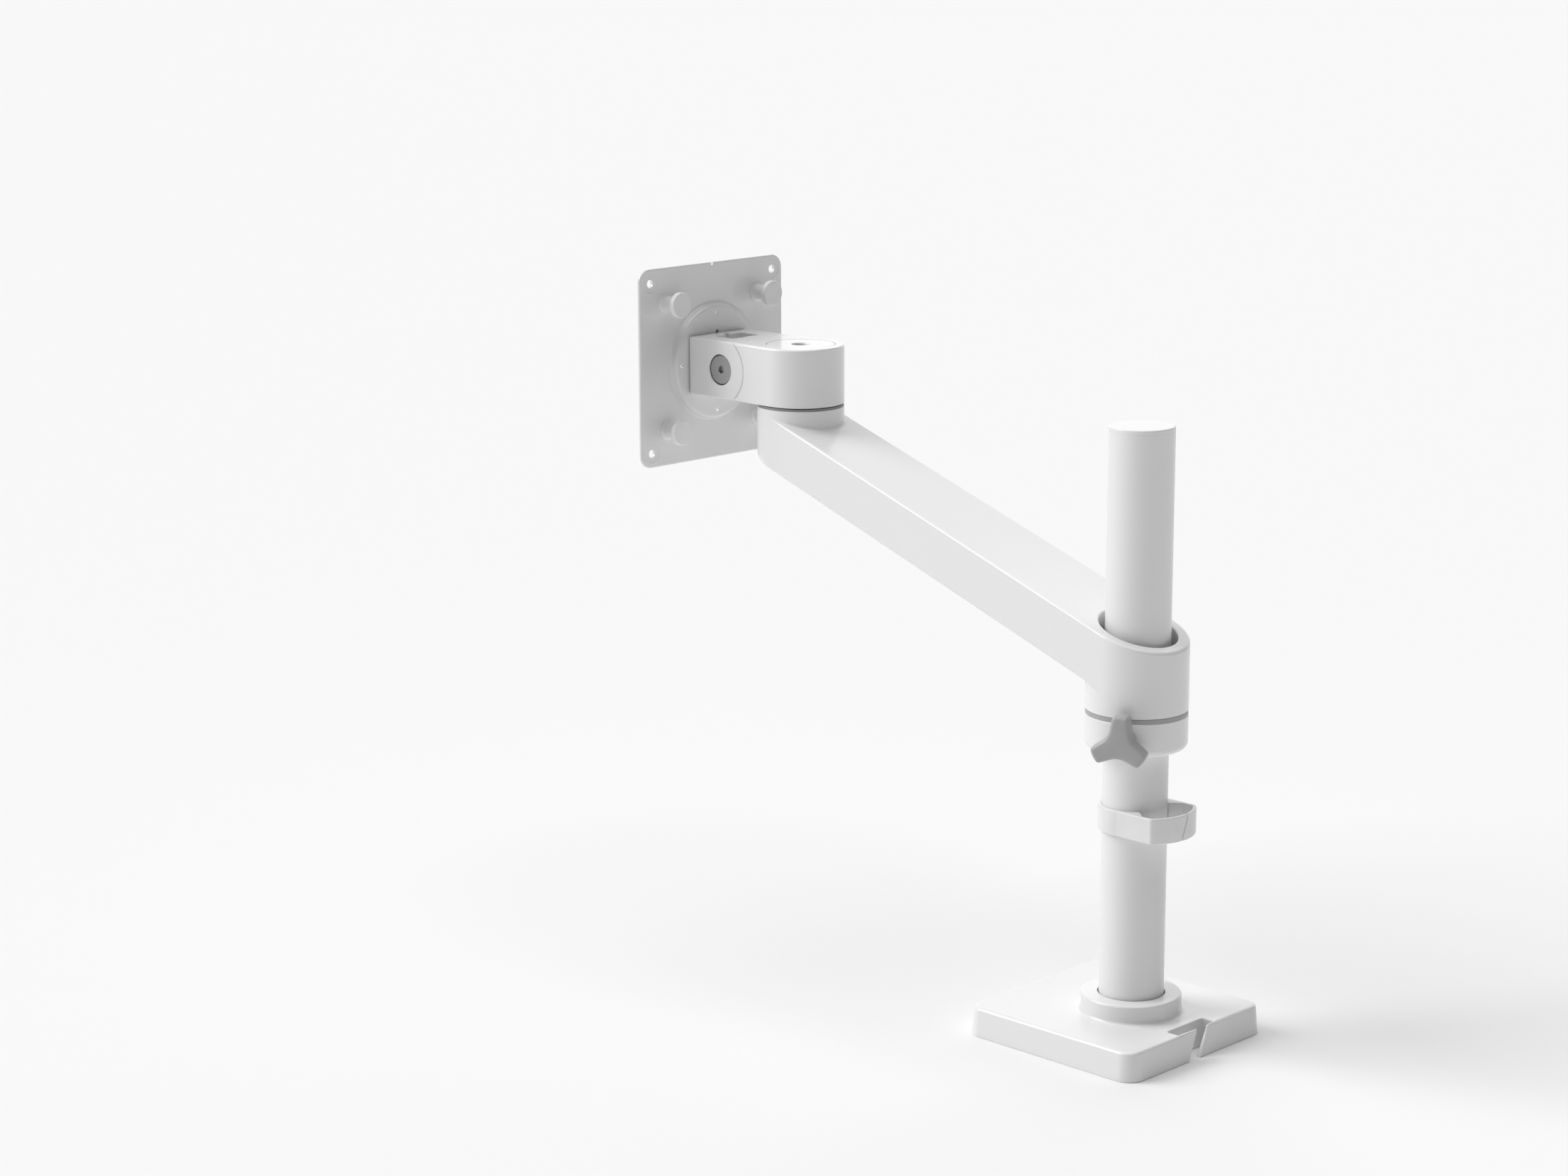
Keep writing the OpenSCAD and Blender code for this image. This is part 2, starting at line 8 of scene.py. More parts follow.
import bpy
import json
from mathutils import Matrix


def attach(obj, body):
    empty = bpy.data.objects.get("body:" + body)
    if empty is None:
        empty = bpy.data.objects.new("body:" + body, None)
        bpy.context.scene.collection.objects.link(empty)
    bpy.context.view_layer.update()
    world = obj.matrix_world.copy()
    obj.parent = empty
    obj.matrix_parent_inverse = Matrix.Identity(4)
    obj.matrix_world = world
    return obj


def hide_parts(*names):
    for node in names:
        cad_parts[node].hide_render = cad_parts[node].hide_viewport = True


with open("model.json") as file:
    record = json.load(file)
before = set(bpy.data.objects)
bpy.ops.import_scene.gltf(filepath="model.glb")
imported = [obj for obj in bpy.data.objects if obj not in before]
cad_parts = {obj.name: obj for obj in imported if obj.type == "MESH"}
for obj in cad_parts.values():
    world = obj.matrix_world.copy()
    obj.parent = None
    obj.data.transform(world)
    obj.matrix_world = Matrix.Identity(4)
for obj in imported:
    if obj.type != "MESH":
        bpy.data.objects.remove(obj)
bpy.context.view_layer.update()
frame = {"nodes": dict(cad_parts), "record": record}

import json
import logging
from collections.abc import Callable, Iterable, Sequence
from dataclasses import dataclass, field
from enum import Enum
from math import acos, asin, atan2, cos, degrees, hypot, pi, radians, sin, tan

import bmesh
import bpy
from mathutils import Matrix, Vector

log = logging.getLogger("monitor_arm")

MM = 0.001
SEAM = 1e-4  # millimetres within which new vertices are one
WELD = 2e-6  # metres within which finished vertices are one
FLAT_BEND = 0.4  # degrees under which two faces are one flat
CORNERS = ((-1, -1), (-1, 1), (1, -1), (1, 1))
Point2 = tuple[float, float]
Corner = tuple[float, float, float]
Loop = list[bmesh.types.BMVert]


# Placing ---------------------------------------------------------------------------


def move(x: float, y: float, z: float) -> Matrix:
    """Placing matrix that shifts by millimetres."""
    return Matrix.Translation(Vector((x, y, z)))


def turn(angle: float, axis: str) -> Matrix:
    """Placing matrix that turns by degrees about the named axis."""
    return Matrix.Rotation(radians(angle), 4, axis)


# Outlines --------------------------------------------------------------------------


def fillet(corners: Sequence[Corner], steps: int = 8) -> list[Point2]:
    """Rounds the corners of a closed polygon.

    Args:
        corners: x, y and rounding radius of each corner, in order.
        steps: Pieces in each rounding arc.

    Returns:
        The outline's points, in the same order.
    """
    points: list[Point2] = []
    count = len(corners)
    for i, (x, y, r) in enumerate(corners):
        if r <= 0:
            points.append((x, y))
            continue
        here = Vector((x, y))
        back = (Vector(corners[i - 1][:2]) - here).normalized()
        ahead = (Vector(corners[(i + 1) % count][:2]) - here).normalized()
        half = back.angle(ahead) / 2
        run = r / tan(half)
        centre = here + (back + ahead).normalized() * (r / sin(half))
        start = here + back * run - centre
        sweep = start.angle_signed(here + ahead * run - centre)
        for k in range(steps + 1):
            arm = start.copy()
            arm.rotate(Matrix.Rotation(-sweep * k / steps, 2))
            points.append((centre.x + arm.x, centre.y + arm.y))
    return points


def arc(centre: Point2, radius: float, start: float, end: float, steps: int) -> list[Point2]:
    """Points along a circle from one angle to another, in degrees, ends included."""
    return [
        (
            centre[0] + radius * cos(radians(start + (end - start) * k / steps)),
            centre[1] + radius * sin(radians(start + (end - start) * k / steps)),
        )
        for k in range(steps + 1)
    ]


def circle(radius: float, steps: int = 96, centre: Point2 = (0.0, 0.0)) -> list[Point2]:
    """Points of a whole circle, anticlockwise."""
    return arc(centre, radius, 0, 360, steps)[:-1]


def outward(points: Sequence[Point2]) -> list[Vector]:
    """Outward direction at each point of a closed anticlockwise outline.

    Args:
        points: The outline.

    Returns:
        One vector a point, longer at a corner so that an offset keeps its distance.
    """
    found = []
    count = len(points)
    for i in range(count):
        here = Vector(points[i])
        before = here - Vector(points[i - 1])
        after = Vector(points[(i + 1) % count]) - here
        a = Vector((before.y, -before.x)).normalized()
        b = Vector((after.y, -after.x)).normalized()
        both = a + b
        found.append(both * (2 / max(both.length_squared, 0.5)))
    return found


def grown(points: Sequence[Point2], amounts: Sequence[float]) -> list[Point2]:
    """The outline moved outwards by its own amount at each point."""
    return [
        (p[0] + n.x * d, p[1] + n.y * d)
        for p, n, d in zip(points, outward(points), amounts)
    ]


def ease_in(t: float) -> float:
    """Smooth step from 0 to 1."""
    t = min(max(t, 0.0), 1.0)
    return t * t * (3 - 2 * t)


# Modelling -------------------------------------------------------------------------


class Clay:
    """A mesh being made, in millimetres, in the frame of its own piece."""

    def __init__(self) -> None:
        """Starts with no faces."""
        self.bm = bmesh.new()

    def ring(self, points: Iterable[Sequence[float]]) -> Loop:
        """Adds loose vertices and returns them in order."""
        return [self.bm.verts.new(Vector(p)) for p in points]

    def level(self, points: Iterable[Point2], z: float) -> Loop:
        """Adds vertices of a flat outline at one height."""
        return self.ring((p[0], p[1], z) for p in points)

    def face(self, verts: Sequence[bmesh.types.BMVert]) -> None:
        """Adds one face, leaving out vertices that repeat."""
        kept = list(dict.fromkeys(verts))
        if len(kept) > 2:
            self.bm.faces.new(kept)

    def strip(self, low: Loop, high: Loop, closed: bool = True) -> None:
        """Joins two rows of vertices, of equal length, with quads."""
        count = len(low)
        for i in range(count if closed else count - 1):
            j = (i + 1) % count
            self.face((low[i], low[j], high[j], high[i]))

    def stack(self, rings: Sequence[Loop], closed: bool = True) -> None:
        """Joins each row of vertices to the next."""
        for low, high in zip(rings, rings[1:]):
            self.strip(low, high, closed)

    def fill(self, *loops: Loop) -> None:
        """Closes a flat region bounded by the first loop, with the others as holes."""
        edges = []
        for loop in loops:
            for i, vert in enumerate(loop):
                pair = (vert, loop[(i + 1) % len(loop)])
                edges.append(self.bm.edges.get(pair) or self.bm.edges.new(pair))
        if len(loops) == 1:
            self.face(loops[0])
            return
        bmesh.ops.triangle_fill(self.bm, use_beauty=True, use_dissolve=False, edges=edges)

    def revolve(self, profile: Sequence[Point2], steps: int = 96) -> "Clay":
        """Turns a profile of radius and height about the z axis.

        Args:
            profile: Points of radius and height. A closed ring repeats its first point.
            steps: Pieces round the circle.

        Returns:
            This clay.
        """
        looped = profile[0] == profile[-1]
        rows: list[Loop] = []
        for r, z in profile[:-1] if looped else profile:
            rows.append(self.ring([(0, 0, z)]) if r < 1e-6 else self.level(circle(r, steps), z))
        pairs = list(zip(rows, rows[1:]))
        if looped:
            pairs.append((rows[-1], rows[0]))
        for low, high in pairs:
            if len(low) == 1 and len(high) == 1:
                continue
            for i in range(steps):
                j = (i + 1) % steps
                a = low if len(low) == 1 else [low[i], low[j]]
                b = high if len(high) == 1 else [high[j], high[i]]
                self.face([*a, *b])
        return self

    def prism(self, points: Sequence[Point2], low: float, high: float) -> "Clay":
        """Adds a straight-sided block over an outline."""
        rows = [self.level(points, low), self.level(points, high)]
        self.stack(rows)
        self.face(rows[0])
        self.face(rows[1])
        return self

    def placed(self, place: Matrix) -> "Clay":
        """Moves everything made so far."""
        self.bm.transform(place)
        return self

    def mesh(self, name: str) -> bpy.types.Mesh:
        """Welds the seams and returns the mesh, in metres."""
        bmesh.ops.remove_doubles(self.bm, verts=self.bm.verts, dist=SEAM)
        bmesh.ops.recalc_face_normals(self.bm, faces=self.bm.faces)
        self.bm.transform(Matrix.Scale(MM, 4))
        data = bpy.data.meshes.new(name)
        self.bm.to_mesh(data)
        self.bm.free()
        return data

    def object(self, name: str) -> bpy.types.Object:
        """Puts the mesh in the scene as an object."""
        made = bpy.data.objects.new(name, self.mesh(name))
        bpy.context.scene.collection.objects.link(made)
        return made


def settled(obj: bpy.types.Object) -> None:
    """Applies the object's modifiers to its mesh."""
    bpy.context.view_layer.update()
    graph = bpy.context.evaluated_depsgraph_get()
    data = bpy.data.meshes.new_from_object(obj.evaluated_get(graph), depsgraph=graph)
    old = obj.data
    obj.modifiers.clear()
    obj.data = data
    data.name = obj.name
    bpy.data.meshes.remove(old)


def carve(obj: bpy.types.Object, tool: Clay) -> None:
    """Cuts a block out of an object, and drops the block."""
    cutter = tool.object("tool")
    change = obj.modifiers.new("carve", "BOOLEAN")
    change.object = cutter
    change.operation = "DIFFERENCE"
    change.solver = "EXACT"
    settled(obj)
    data = cutter.data
    bpy.data.objects.remove(cutter)
    bpy.data.meshes.remove(data)


Rule = Callable[[Vector, float], float]


def soften(obj: bpy.types.Object, rule: Rule, segments: int = 3, limit: float = 26) -> None:
    """Rounds the sharp edges of an object.

    Args:
        obj: The object, with flat shading and clean flat faces.
        rule: Gives an edge's rounding in millimetres from its middle point, in
            millimetres, and its turn in degrees, which is negative in a hollow.
        segments: Strips in each rounding.
        limit: Smallest turn between two faces, in degrees, that counts as an edge.
    """
    work = bmesh.new()
    work.from_mesh(obj.data)
    bmesh.ops.remove_doubles(work, verts=work.verts, dist=WELD)
    bmesh.ops.dissolve_limit(
        work,
        angle_limit=radians(FLAT_BEND),
        verts=work.verts,
        edges=work.edges,
        use_dissolve_boundaries=False,
    )
    bmesh.ops.recalc_face_normals(work, faces=work.faces)
    weights = work.edges.layers.float.new("bevel_weight_edge")
    work.edges.index_update()
    widths = {}
    for edge in work.edges:
        if len(edge.link_faces) != 2:
            continue
        bend = degrees(edge.calc_face_angle_signed(0.0))
        if abs(bend) < limit:
            continue
        middle = (edge.verts[0].co + edge.verts[1].co) / (2 * MM)
        widths[edge.index] = rule(middle, bend)
    widest = max(widths.values(), default=0)
    if widest > 0:
        for edge in work.edges:
            edge[weights] = widths.get(edge.index, 0) / widest
    work.to_mesh(obj.data)
    work.free()
    if widest > 0:
        change = obj.modifiers.new("soften", "BEVEL")
        change.limit_method = "WEIGHT"
        change.width = widest * MM
        change.segments = segments
        change.use_clamp_overlap = False
        change.miter_outer = "MITER_ARC"
        settled(obj)


def smooth(obj: bpy.types.Object, limit: float = 34) -> None:
    """Shades an object smoothly, with its flat faces kept flat."""
    obj.data.shade_smooth()
    obj.data.set_sharp_from_angle(angle=radians(limit))
    change = obj.modifiers.new("flats", "WEIGHTED_NORMAL")
    change.keep_sharp = True
    change.weight = 80
    settled(obj)


# Shading ---------------------------------------------------------------------------

Value = "Wire | float | Sequence[float]"


@dataclass
class Wire:
    """An output socket whose arithmetic adds Math nodes."""

    tree: bpy.types.NodeTree
    socket: bpy.types.NodeSocket

    def _math(self, operation: str, *values: Value) -> "Wire":
        """Adds one Math node over the values."""
        bench = Bench(self.tree)
        return bench.node("ShaderNodeMath", {"operation": operation}, dict(enumerate(values)))

    def __add__(self, other: Value) -> "Wire":
        """Sum."""
        return self._math("ADD", self, other)

    def __sub__(self, other: Value) -> "Wire":
        """Difference."""
        return self._math("SUBTRACT", self, other)

    def __rsub__(self, other: Value) -> "Wire":
        """Difference, from a number."""
        return self._math("SUBTRACT", other, self)

    def __mul__(self, other: Value) -> "Wire":
        """Product."""
        return self._math("MULTIPLY", self, other)

    __radd__ = __add__
    __rmul__ = __mul__


@dataclass
class Bench:
    """Where the nodes of one material or world are added and joined."""

    tree: bpy.types.NodeTree

    def node(self, kind: str, settings: dict, inputs: dict, output: int | str = 0) -> Wire:
        """Adds a node.

        Args:
            kind: The node's type.
            settings: Its properties, and "stops" for the colours of a ramp.
            inputs: Values or links of its sockets, by name or place.
            output: Which of its outputs is returned.

        Returns:
            That output.
        """
        made = self.tree.nodes.new(kind)
        for key, value in settings.items():
            if key == "stops":
                for k, (where, shade) in enumerate(value):
                    elements = made.color_ramp.elements
                    stop = elements[k] if k < len(elements) else elements.new(where)
                    stop.position = where
                    stop.color = (shade, shade, shade, 1)
            else:
                setattr(made, key, value)
        for key, value in inputs.items():
            if isinstance(value, Wire):
                self.tree.links.new(value.socket, made.inputs[key])
            else:
                made.inputs[key].default_value = value
        return Wire(self.tree, made.outputs[output])

    def place(self) -> Wire:
        """Position on the object, in metres."""
        return self.node("ShaderNodeTexCoord", {}, {}, "Object")

    def vector(self, operation: str, *values: Value, output: int | str = 0) -> Wire:
        """Adds one Vector Math node over the values."""
        settings = {"operation": operation}
        return self.node("ShaderNodeVectorMath", settings, dict(enumerate(values)), output)

    def noise(self, where: Wire, size: float, detail: float = 2, rough: float = 0.5) -> Wire:
        """Cloudy noise whose patches are about size millimetres across."""
        return self.node(
            "ShaderNodeTexNoise",
            {"noise_dimensions": "3D"},
            {"Vector": where, "Scale": 1 / (size * MM), "Detail": detail, "Roughness": rough},
        )

    def cells(self, where: Wire, size: float) -> Wire:
        """Distance to the nearest of scattered points about size millimetres apart."""
        return self.node(
            "ShaderNodeTexVoronoi",
            {"feature": "F1"},
            {"Vector": where, "Scale": 1 / (size * MM)},
            "Distance",
        )

    def ramp(self, value: Wire, *stops: tuple[float, float]) -> Wire:
        """Maps a value through grey stops of place and shade."""
        return self.node("ShaderNodeValToRGB", {"stops": stops}, {"Fac": value})

    def blend(self, factor: Value, a: Value, b: Value) -> Wire:
        """Mixes two colours."""
        return self.node("ShaderNodeMix", {"data_type": "RGBA"}, {0: factor, 6: a, 7: b}, 2)

    def bump(self, height: Wire, depth: float, strength: float = 1.0) -> Wire:
        """Surface relief of a depth in millimetres."""
        return self.node(
            "ShaderNodeBump", {}, {"Strength": strength, "Distance": depth * MM, "Height": height}
        )


Colour = tuple[float, float, float]


def rgba(colour: Colour, scale: float = 1.0) -> tuple[float, float, float, float]:
    """Colour scaled, with full alpha."""
    return (colour[0] * scale, colour[1] * scale, colour[2] * scale, 1.0)


@dataclass(frozen=True)
class Finish:
    """What all finishes share: a name, a colour and a polish."""

    name: str
    colour: Colour
    rough: float
    metal: float = 0.0

    def relief(self, bench: Bench, where: Wire) -> tuple[Wire, Wire, Wire]:
        """Colour, roughness and normal over the surface."""
        raise NotImplementedError

    def gloss(self) -> dict[str, float]:
        """Shader values that are the same all over."""
        return {}

    def material(self) -> bpy.types.Material:
        """The finish as a material, made once."""
        made = bpy.data.materials.get(self.name)
        if made:
            return made
        made = bpy.data.materials.new(self.name)
        made.use_nodes = True
        bench = Bench(made.node_tree)
        shader = made.node_tree.nodes["Principled BSDF"]
        colour, rough, normal = self.relief(bench, bench.place())
        for socket, wire in (("Base Color", colour), ("Roughness", rough), ("Normal", normal)):
            made.node_tree.links.new(wire.socket, shader.inputs[socket])
        shader.inputs["Metallic"].default_value = self.metal
        for socket, value in self.gloss().items():
            shader.inputs[socket].default_value = value
        made.diffuse_color = rgba(self.colour)
        return made


@dataclass(frozen=True)
class Paint(Finish):
    """Baked gloss paint: faint ripple, even colour and a clear top."""

    ripple: float = 0.004
    coat: float = 0.6

    def relief(self, bench: Bench, where: Wire) -> tuple[Wire, Wire, Wire]:
        """Slow drifts of tone and polish, and a fine ripple like orange peel."""
        drift = bench.noise(where, 60, 2)
        flecks = bench.ramp(bench.noise(where, 0.7, 2), (0.62, 0.0), (0.74, 1.0))
        tone = bench.blend(drift, rgba(self.colour, 0.985), rgba(self.colour, 1.008))
        tone = bench.blend(flecks * 0.035, tone, rgba(self.colour, 0.72))
        cloud, fine = bench.noise(where, 24, 2) * 0.05, bench.noise(where, 0.9, 2) * 0.06
        rough = cloud + fine + (self.rough - 0.055)
        peel = bench.noise(where, 2.4, 1, 0.4) + bench.noise(where, 0.5, 1) * 0.3
        return tone, rough, bench.bump(peel, self.ripple, 0.5)

    def gloss(self) -> dict[str, float]:
        """A clear coat over the paint."""
        return {"Coat Weight": self.coat, "Coat Roughness": 0.09, "IOR": 1.45}


@dataclass(frozen=True)
class Moulding(Finish):
    """Moulded plastic with the fine grain of its mould."""

    grain: float = 0.25
    depth: float = 0.012

    def relief(self, bench: Bench, where: Wire) -> tuple[Wire, Wire, Wire]:
        """Spark-eroded grain, with a faint flow of tone."""
        drift = bench.noise(where, 9, 3)
        tone = bench.blend(drift, rgba(self.colour, 0.93), rgba(self.colour, 1.05))
        grain = bench.cells(where, self.grain) + bench.noise(where, self.grain * 2.2, 3)
        rough = bench.noise(where, 5, 3) * 0.12 + (self.rough - 0.06)
        return tone, rough, bench.bump(grain, self.depth, 0.7)


@dataclass(frozen=True)
class TurnedSteel(Finish):
    """Steel faced in a lathe: fine rings about an axis that runs along x."""

    centre: Colour = (0.0, 0.0, 0.0)
    pitch: float = 0.22

    def relief(self, bench: Bench, where: Wire) -> tuple[Wire, Wire, Wire]:
        """Rings of tool marks that waver a little."""
        arm = bench.vector("SUBTRACT", where, self.centre)
        flat = bench.vector("MULTIPLY", arm, (0, 1, 1))
        reach = bench.vector("LENGTH", flat, output="Value")
        waver = bench.noise(where, 3, 2) * (0.12 * MM)
        rings = bench.node(
            "ShaderNodeTexNoise",
            {"noise_dimensions": "1D"},
            {"W": reach + waver, "Scale": 1 / (self.pitch * MM), "Detail": 3.0},
        )
        tone = bench.blend(rings, rgba(self.colour, 0.82), rgba(self.colour, 1.12))
        rough = rings * 0.22 + (self.rough - 0.11)
        return tone, rough, bench.bump(rings, 0.01, 0.6)


@dataclass(frozen=True)
class PlatedSteel(Finish):
    """Plated or ground steel with fine scratches all ways."""

    def relief(self, bench: Bench, where: Wire) -> tuple[Wire, Wire, Wire]:
        """Clouds of plating and a fine ground texture."""
        cloud = bench.noise(where, 2.2, 4)
        tone = bench.blend(cloud, rgba(self.colour, 0.84), rgba(self.colour, 1.08))
        rough = cloud * 0.2 + (self.rough - 0.1)
        return tone, rough, bench.bump(bench.noise(where, 0.16, 2), 0.006, 0.6)


@dataclass(frozen=True)
class Foam(Finish):
    """Dark closed-cell pad."""

    def relief(self, bench: Bench, where: Wire) -> tuple[Wire, Wire, Wire]:
        """Open pores over the pad."""
        pores = bench.cells(where, 0.8)
        tone = bench.blend(pores, rgba(self.colour, 0.55), rgba(self.colour, 1.3))
        return tone, pores * 0.1 + self.rough, bench.bump(pores, 0.12, 0.9)


@dataclass(frozen=True)
class Palette:
    """The finishes of this arm, by the record's material slots."""

    cast: Paint = Paint("white_cast_paint", (0.83, 0.83, 0.832), 0.42)
    tube: Paint = Paint("white_tube_paint", (0.83, 0.83, 0.832), 0.40, ripple=0.002, coat=0.35)
    sheet: Paint = Paint("white_sheet_paint", (0.78, 0.78, 0.782), 0.36, ripple=0.003, coat=0.9)
    white: Moulding = Moulding("white_moulded_plastic", (0.82, 0.82, 0.82), 0.36, depth=0.004)
    grey: Moulding = Moulding("grey_moulded_plastic", (0.41, 0.41, 0.415), 0.46, depth=0.006)
    seam: Moulding = Moulding("grey_washer_plastic", (0.27, 0.27, 0.275), 0.50)
    dark: Moulding = Moulding("dark_bearing_plastic", (0.045, 0.045, 0.05), 0.45)
    foam: Foam = Foam("dark_foam", (0.05, 0.05, 0.055), 0.82)
    steel: PlatedSteel = PlatedSteel("ground_steel", (0.50, 0.50, 0.51), 0.34, 1.0)
    zinc: PlatedSteel = PlatedSteel("zinc_plated_steel", (0.62, 0.63, 0.65), 0.27, 1.0)
    brass: PlatedSteel = PlatedSteel("turned_brass", (0.72, 0.53, 0.24), 0.30, 1.0)

    def by_slot(self) -> dict[str, Finish]:
        """Finish of each material slot in the record."""
        return {
            "white_cast": self.cast,
            "white_tube": self.tube,
            "white_sheet": self.sheet,
            "white_plastic": self.white,
            "grey_plastic": self.seam,
            "dark_plastic": self.dark,
            "foam_pad": self.foam,
            "steel": self.steel,
            "zinc_steel": self.zinc,
            "brass": self.brass,
        }


PALETTE = Palette()


# Assembly --------------------------------------------------------------------------


@dataclass(frozen=True)
class Joints:
    """Where the arm's axes stand, in millimetres."""

    head: Point2 = (-21.5896, -268.3329)
    yaw: float = 4.6
    tilt_offset: float = 42.5
    knob_az: float = 25.3
    knob_z: float = 172.9
    head_z: float = 314.3945
    head_h: float = 33.9

    def tilt_z(self) -> float:
        """Height of the tilt axis."""
        return self.head_z + self.head_h / 2

    def arm(self) -> Matrix:
        """Frame of the arm: x runs along it and z is up."""
        return turn(-90 - self.yaw, "Z")

    def pan(self) -> Matrix:
        """Frame of the head, on its pan axis, at the desk's height."""
        return move(self.head[0], self.head[1], 0)

    def tilt(self) -> Matrix:
        """Frame of the bracket, on the tilt axis, with the world's directions."""
        return move(self.head[0], self.head[1] - self.tilt_offset, self.tilt_z())

    def plate(self) -> Matrix:
        """Frame of the screen plate: z points to the screen and y is up."""
        return self.tilt() @ turn(90, "X")

    def clamp(self) -> Matrix:
        """Frame of the clamp screw: z points away from the pole and y is up."""
        return turn(self.knob_az, "Z") @ move(0, 0, self.knob_z) @ turn(90, "Y") @ turn(90, "Z")


AXES = Joints()


def dress(
    obj: bpy.types.Object, finish: Finish, body: str, nodes: Sequence[str]
) -> bpy.types.Object:
    """Gives a piece its finish, its body and the nodes that it stands for.

    Args:
        obj: The finished piece.
        finish: Its finish.
        body: The body that it rides on.
        nodes: Frame nodes that it replaces.

    Returns:
        The piece.
    """
    obj.data.materials.clear()
    obj.data.materials.append(finish.material())
    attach(obj, body)
    if nodes:
        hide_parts(*nodes)
    log.info("%s rides on %s with %d faces", obj.name, body, len(obj.data.polygons))
    return obj


def lathe(
    name: str, profile: Sequence[Point2], steps: int, place: Matrix | None = None
) -> bpy.types.Object:
    """A smooth solid of revolution.

    Args:
        name: The piece's name.
        profile: Points of radius and height, as Clay.revolve takes them.
        steps: Pieces round the circle.
        place: Where its axis stands, when that isn't the z axis.

    Returns:
        The piece.
    """
    clay = Clay().revolve(profile, steps)
    made = (clay if place is None else clay.placed(place)).object(name)
    smooth(made)
    return made


def drill(
    obj: bpy.types.Object,
    outline: Sequence[Point2],
    low: float,
    high: float,
    place: Matrix | None = None,
) -> None:
    """Cuts a straight hole.

    Args:
        obj: The piece.
        outline: The hole's outline.
        low: Where the hole starts along its axis.
        high: Where it ends.
        place: Where its axis stands, when that isn't the z axis.
    """
    tool = Clay().prism(outline, low, high)
    carve(obj, tool if place is None else tool.placed(place))


def eased_copy(node: str, width: float, limit: float = 40) -> bpy.types.Object:
    """A new piece with a frame node's shape and eased edges."""
    made = bpy.data.objects.new(node + "_eased", frame["nodes"][node].data.copy())
    bpy.context.scene.collection.objects.link(made)
    soften(made, lambda middle, bend: width if bend > 0 else 0, 2, limit)
    smooth(made)
    return made


@dataclass
class Base:
    """Square base with a boss for the pole and a slit that lets cables into a window."""

    half_w: float = 57.75
    back: float = 47.0
    front: float = -68.5
    height: float = 16.0
    corner: float = 10.0
    taper: float = 1.4
    edge: float = 1.9
    window_edge: float = 0.8
    window: tuple[float, float] = (30.0, 8.0)
    lip: float = 2.5
    slit: float = 9.0
    lean: float = 8.0
    boss_r: float = 27.15
    boss_h: float = 10.5
    boss_foot: float = 2.2
    bore_r: float = 18.1
    pocket: tuple[float, float, float] = (53.75, -64.5, 32.5)
    pocket_h: float = 9.0
    steps: int = 128

    def plan(self, z: float) -> tuple[list[Point2], list[float]]:
        """Outline at a height, and the rounding that its top edge gets at each point."""
        share = z / self.height
        inset = self.taper * share
        w = self.half_w - inset
        y1, y0 = self.back - inset, self.front + inset
        r = self.corner - inset
        sill = self.back - self.lip
        mid = self.lean * (0.5 - share)
        right, left = mid + self.slit / 2, mid - self.slit / 2
        wx, wy = self.window[0] / 2, sill - self.window[1]
        outer = [(w, y0, r), (w, y1, r)]
        cut = [
            (right, y1, 0.5), (right, sill, 0.5), (wx, sill, 0.4), (wx, wy, 1.4),
            (-wx, wy, 1.4), (-wx, sill, 0.4), (left, sill, 0.5), (left, y1, 0.5),
        ]
        last = [(-w, y1, r), (-w, y0, r)]
        points = fillet([*outer, *cut, *last], 8)
        per = 9
        count = len(points)
        first, after = 2 * per, 2 * per + 8 * per
        edges = [self.window_edge if first <= i < after else self.edge for i in range(count)]
        return points, edges

    def shell(self) -> bpy.types.Object:
        """The cover, hollow below, with its boss."""
        clay = Clay()
        rings = []
        for z in (0.0, 0.5, 4.0, 8.0, 12.0, self.height - self.edge):
            points, _ = self.plan(z)
            shrink = 0.35 if z == 0 else 0
            rings.append(clay.level(grown(points, [-shrink] * len(points)), z))
        steps = 6
        for k in range(1, steps + 1):
            a = pi / 2 * k / steps
            z = self.height - self.edge * (1 - sin(a))
            points, edges = self.plan(z)
            moved = grown(points, [-e * (1 - cos(a)) for e in edges])
            heights = [
                self.height - e * (1 - sin(a)) if e != self.edge else z for e in edges
            ]
            rings.append(clay.ring((p[0], p[1], h) for p, h in zip(moved, heights)))
        clay.stack(rings)
        top = self.height + self.boss_h
        boss = fillet(
            [
                (self.boss_r + 9, self.height, 0), (self.boss_r, self.height, self.boss_foot),
                (self.boss_r, top, 1.4), (self.bore_r, top, 0.5),
                (self.bore_r, self.pocket_h + 1, 0),
            ],
            6,
        )
        rows = [clay.level(circle(r, self.steps), z) for r, z in boss[1:]]
        clay.stack(rows)
        clay.fill(rings[-1], rows[0])
        x, y0, y1 = self.pocket
        rect = fillet([(-x, y0, 4), (x, y0, 4), (x, y1, 4), (-x, y1, 4)], 5)
        mouth, roof = clay.level(rect, 0.0), clay.level(rect, self.pocket_h)
        clay.stack([mouth, roof])
        clay.fill(roof)
        clay.fill(rings[0], mouth)
        well = clay.level(circle(self.bore_r, self.steps), self.pocket_h + 1)
        clay.face(well)
        made = clay.object("base_cover")
        smooth(made, 40)
        return made

    def build(self) -> None:
        """Makes the base's visible pieces."""
        dress(self.shell(), PALETTE.cast, "base", ["base_casting"])
        dress(eased_copy("base_pad", 0.5), PALETTE.foam, "base", ["base_pad"])


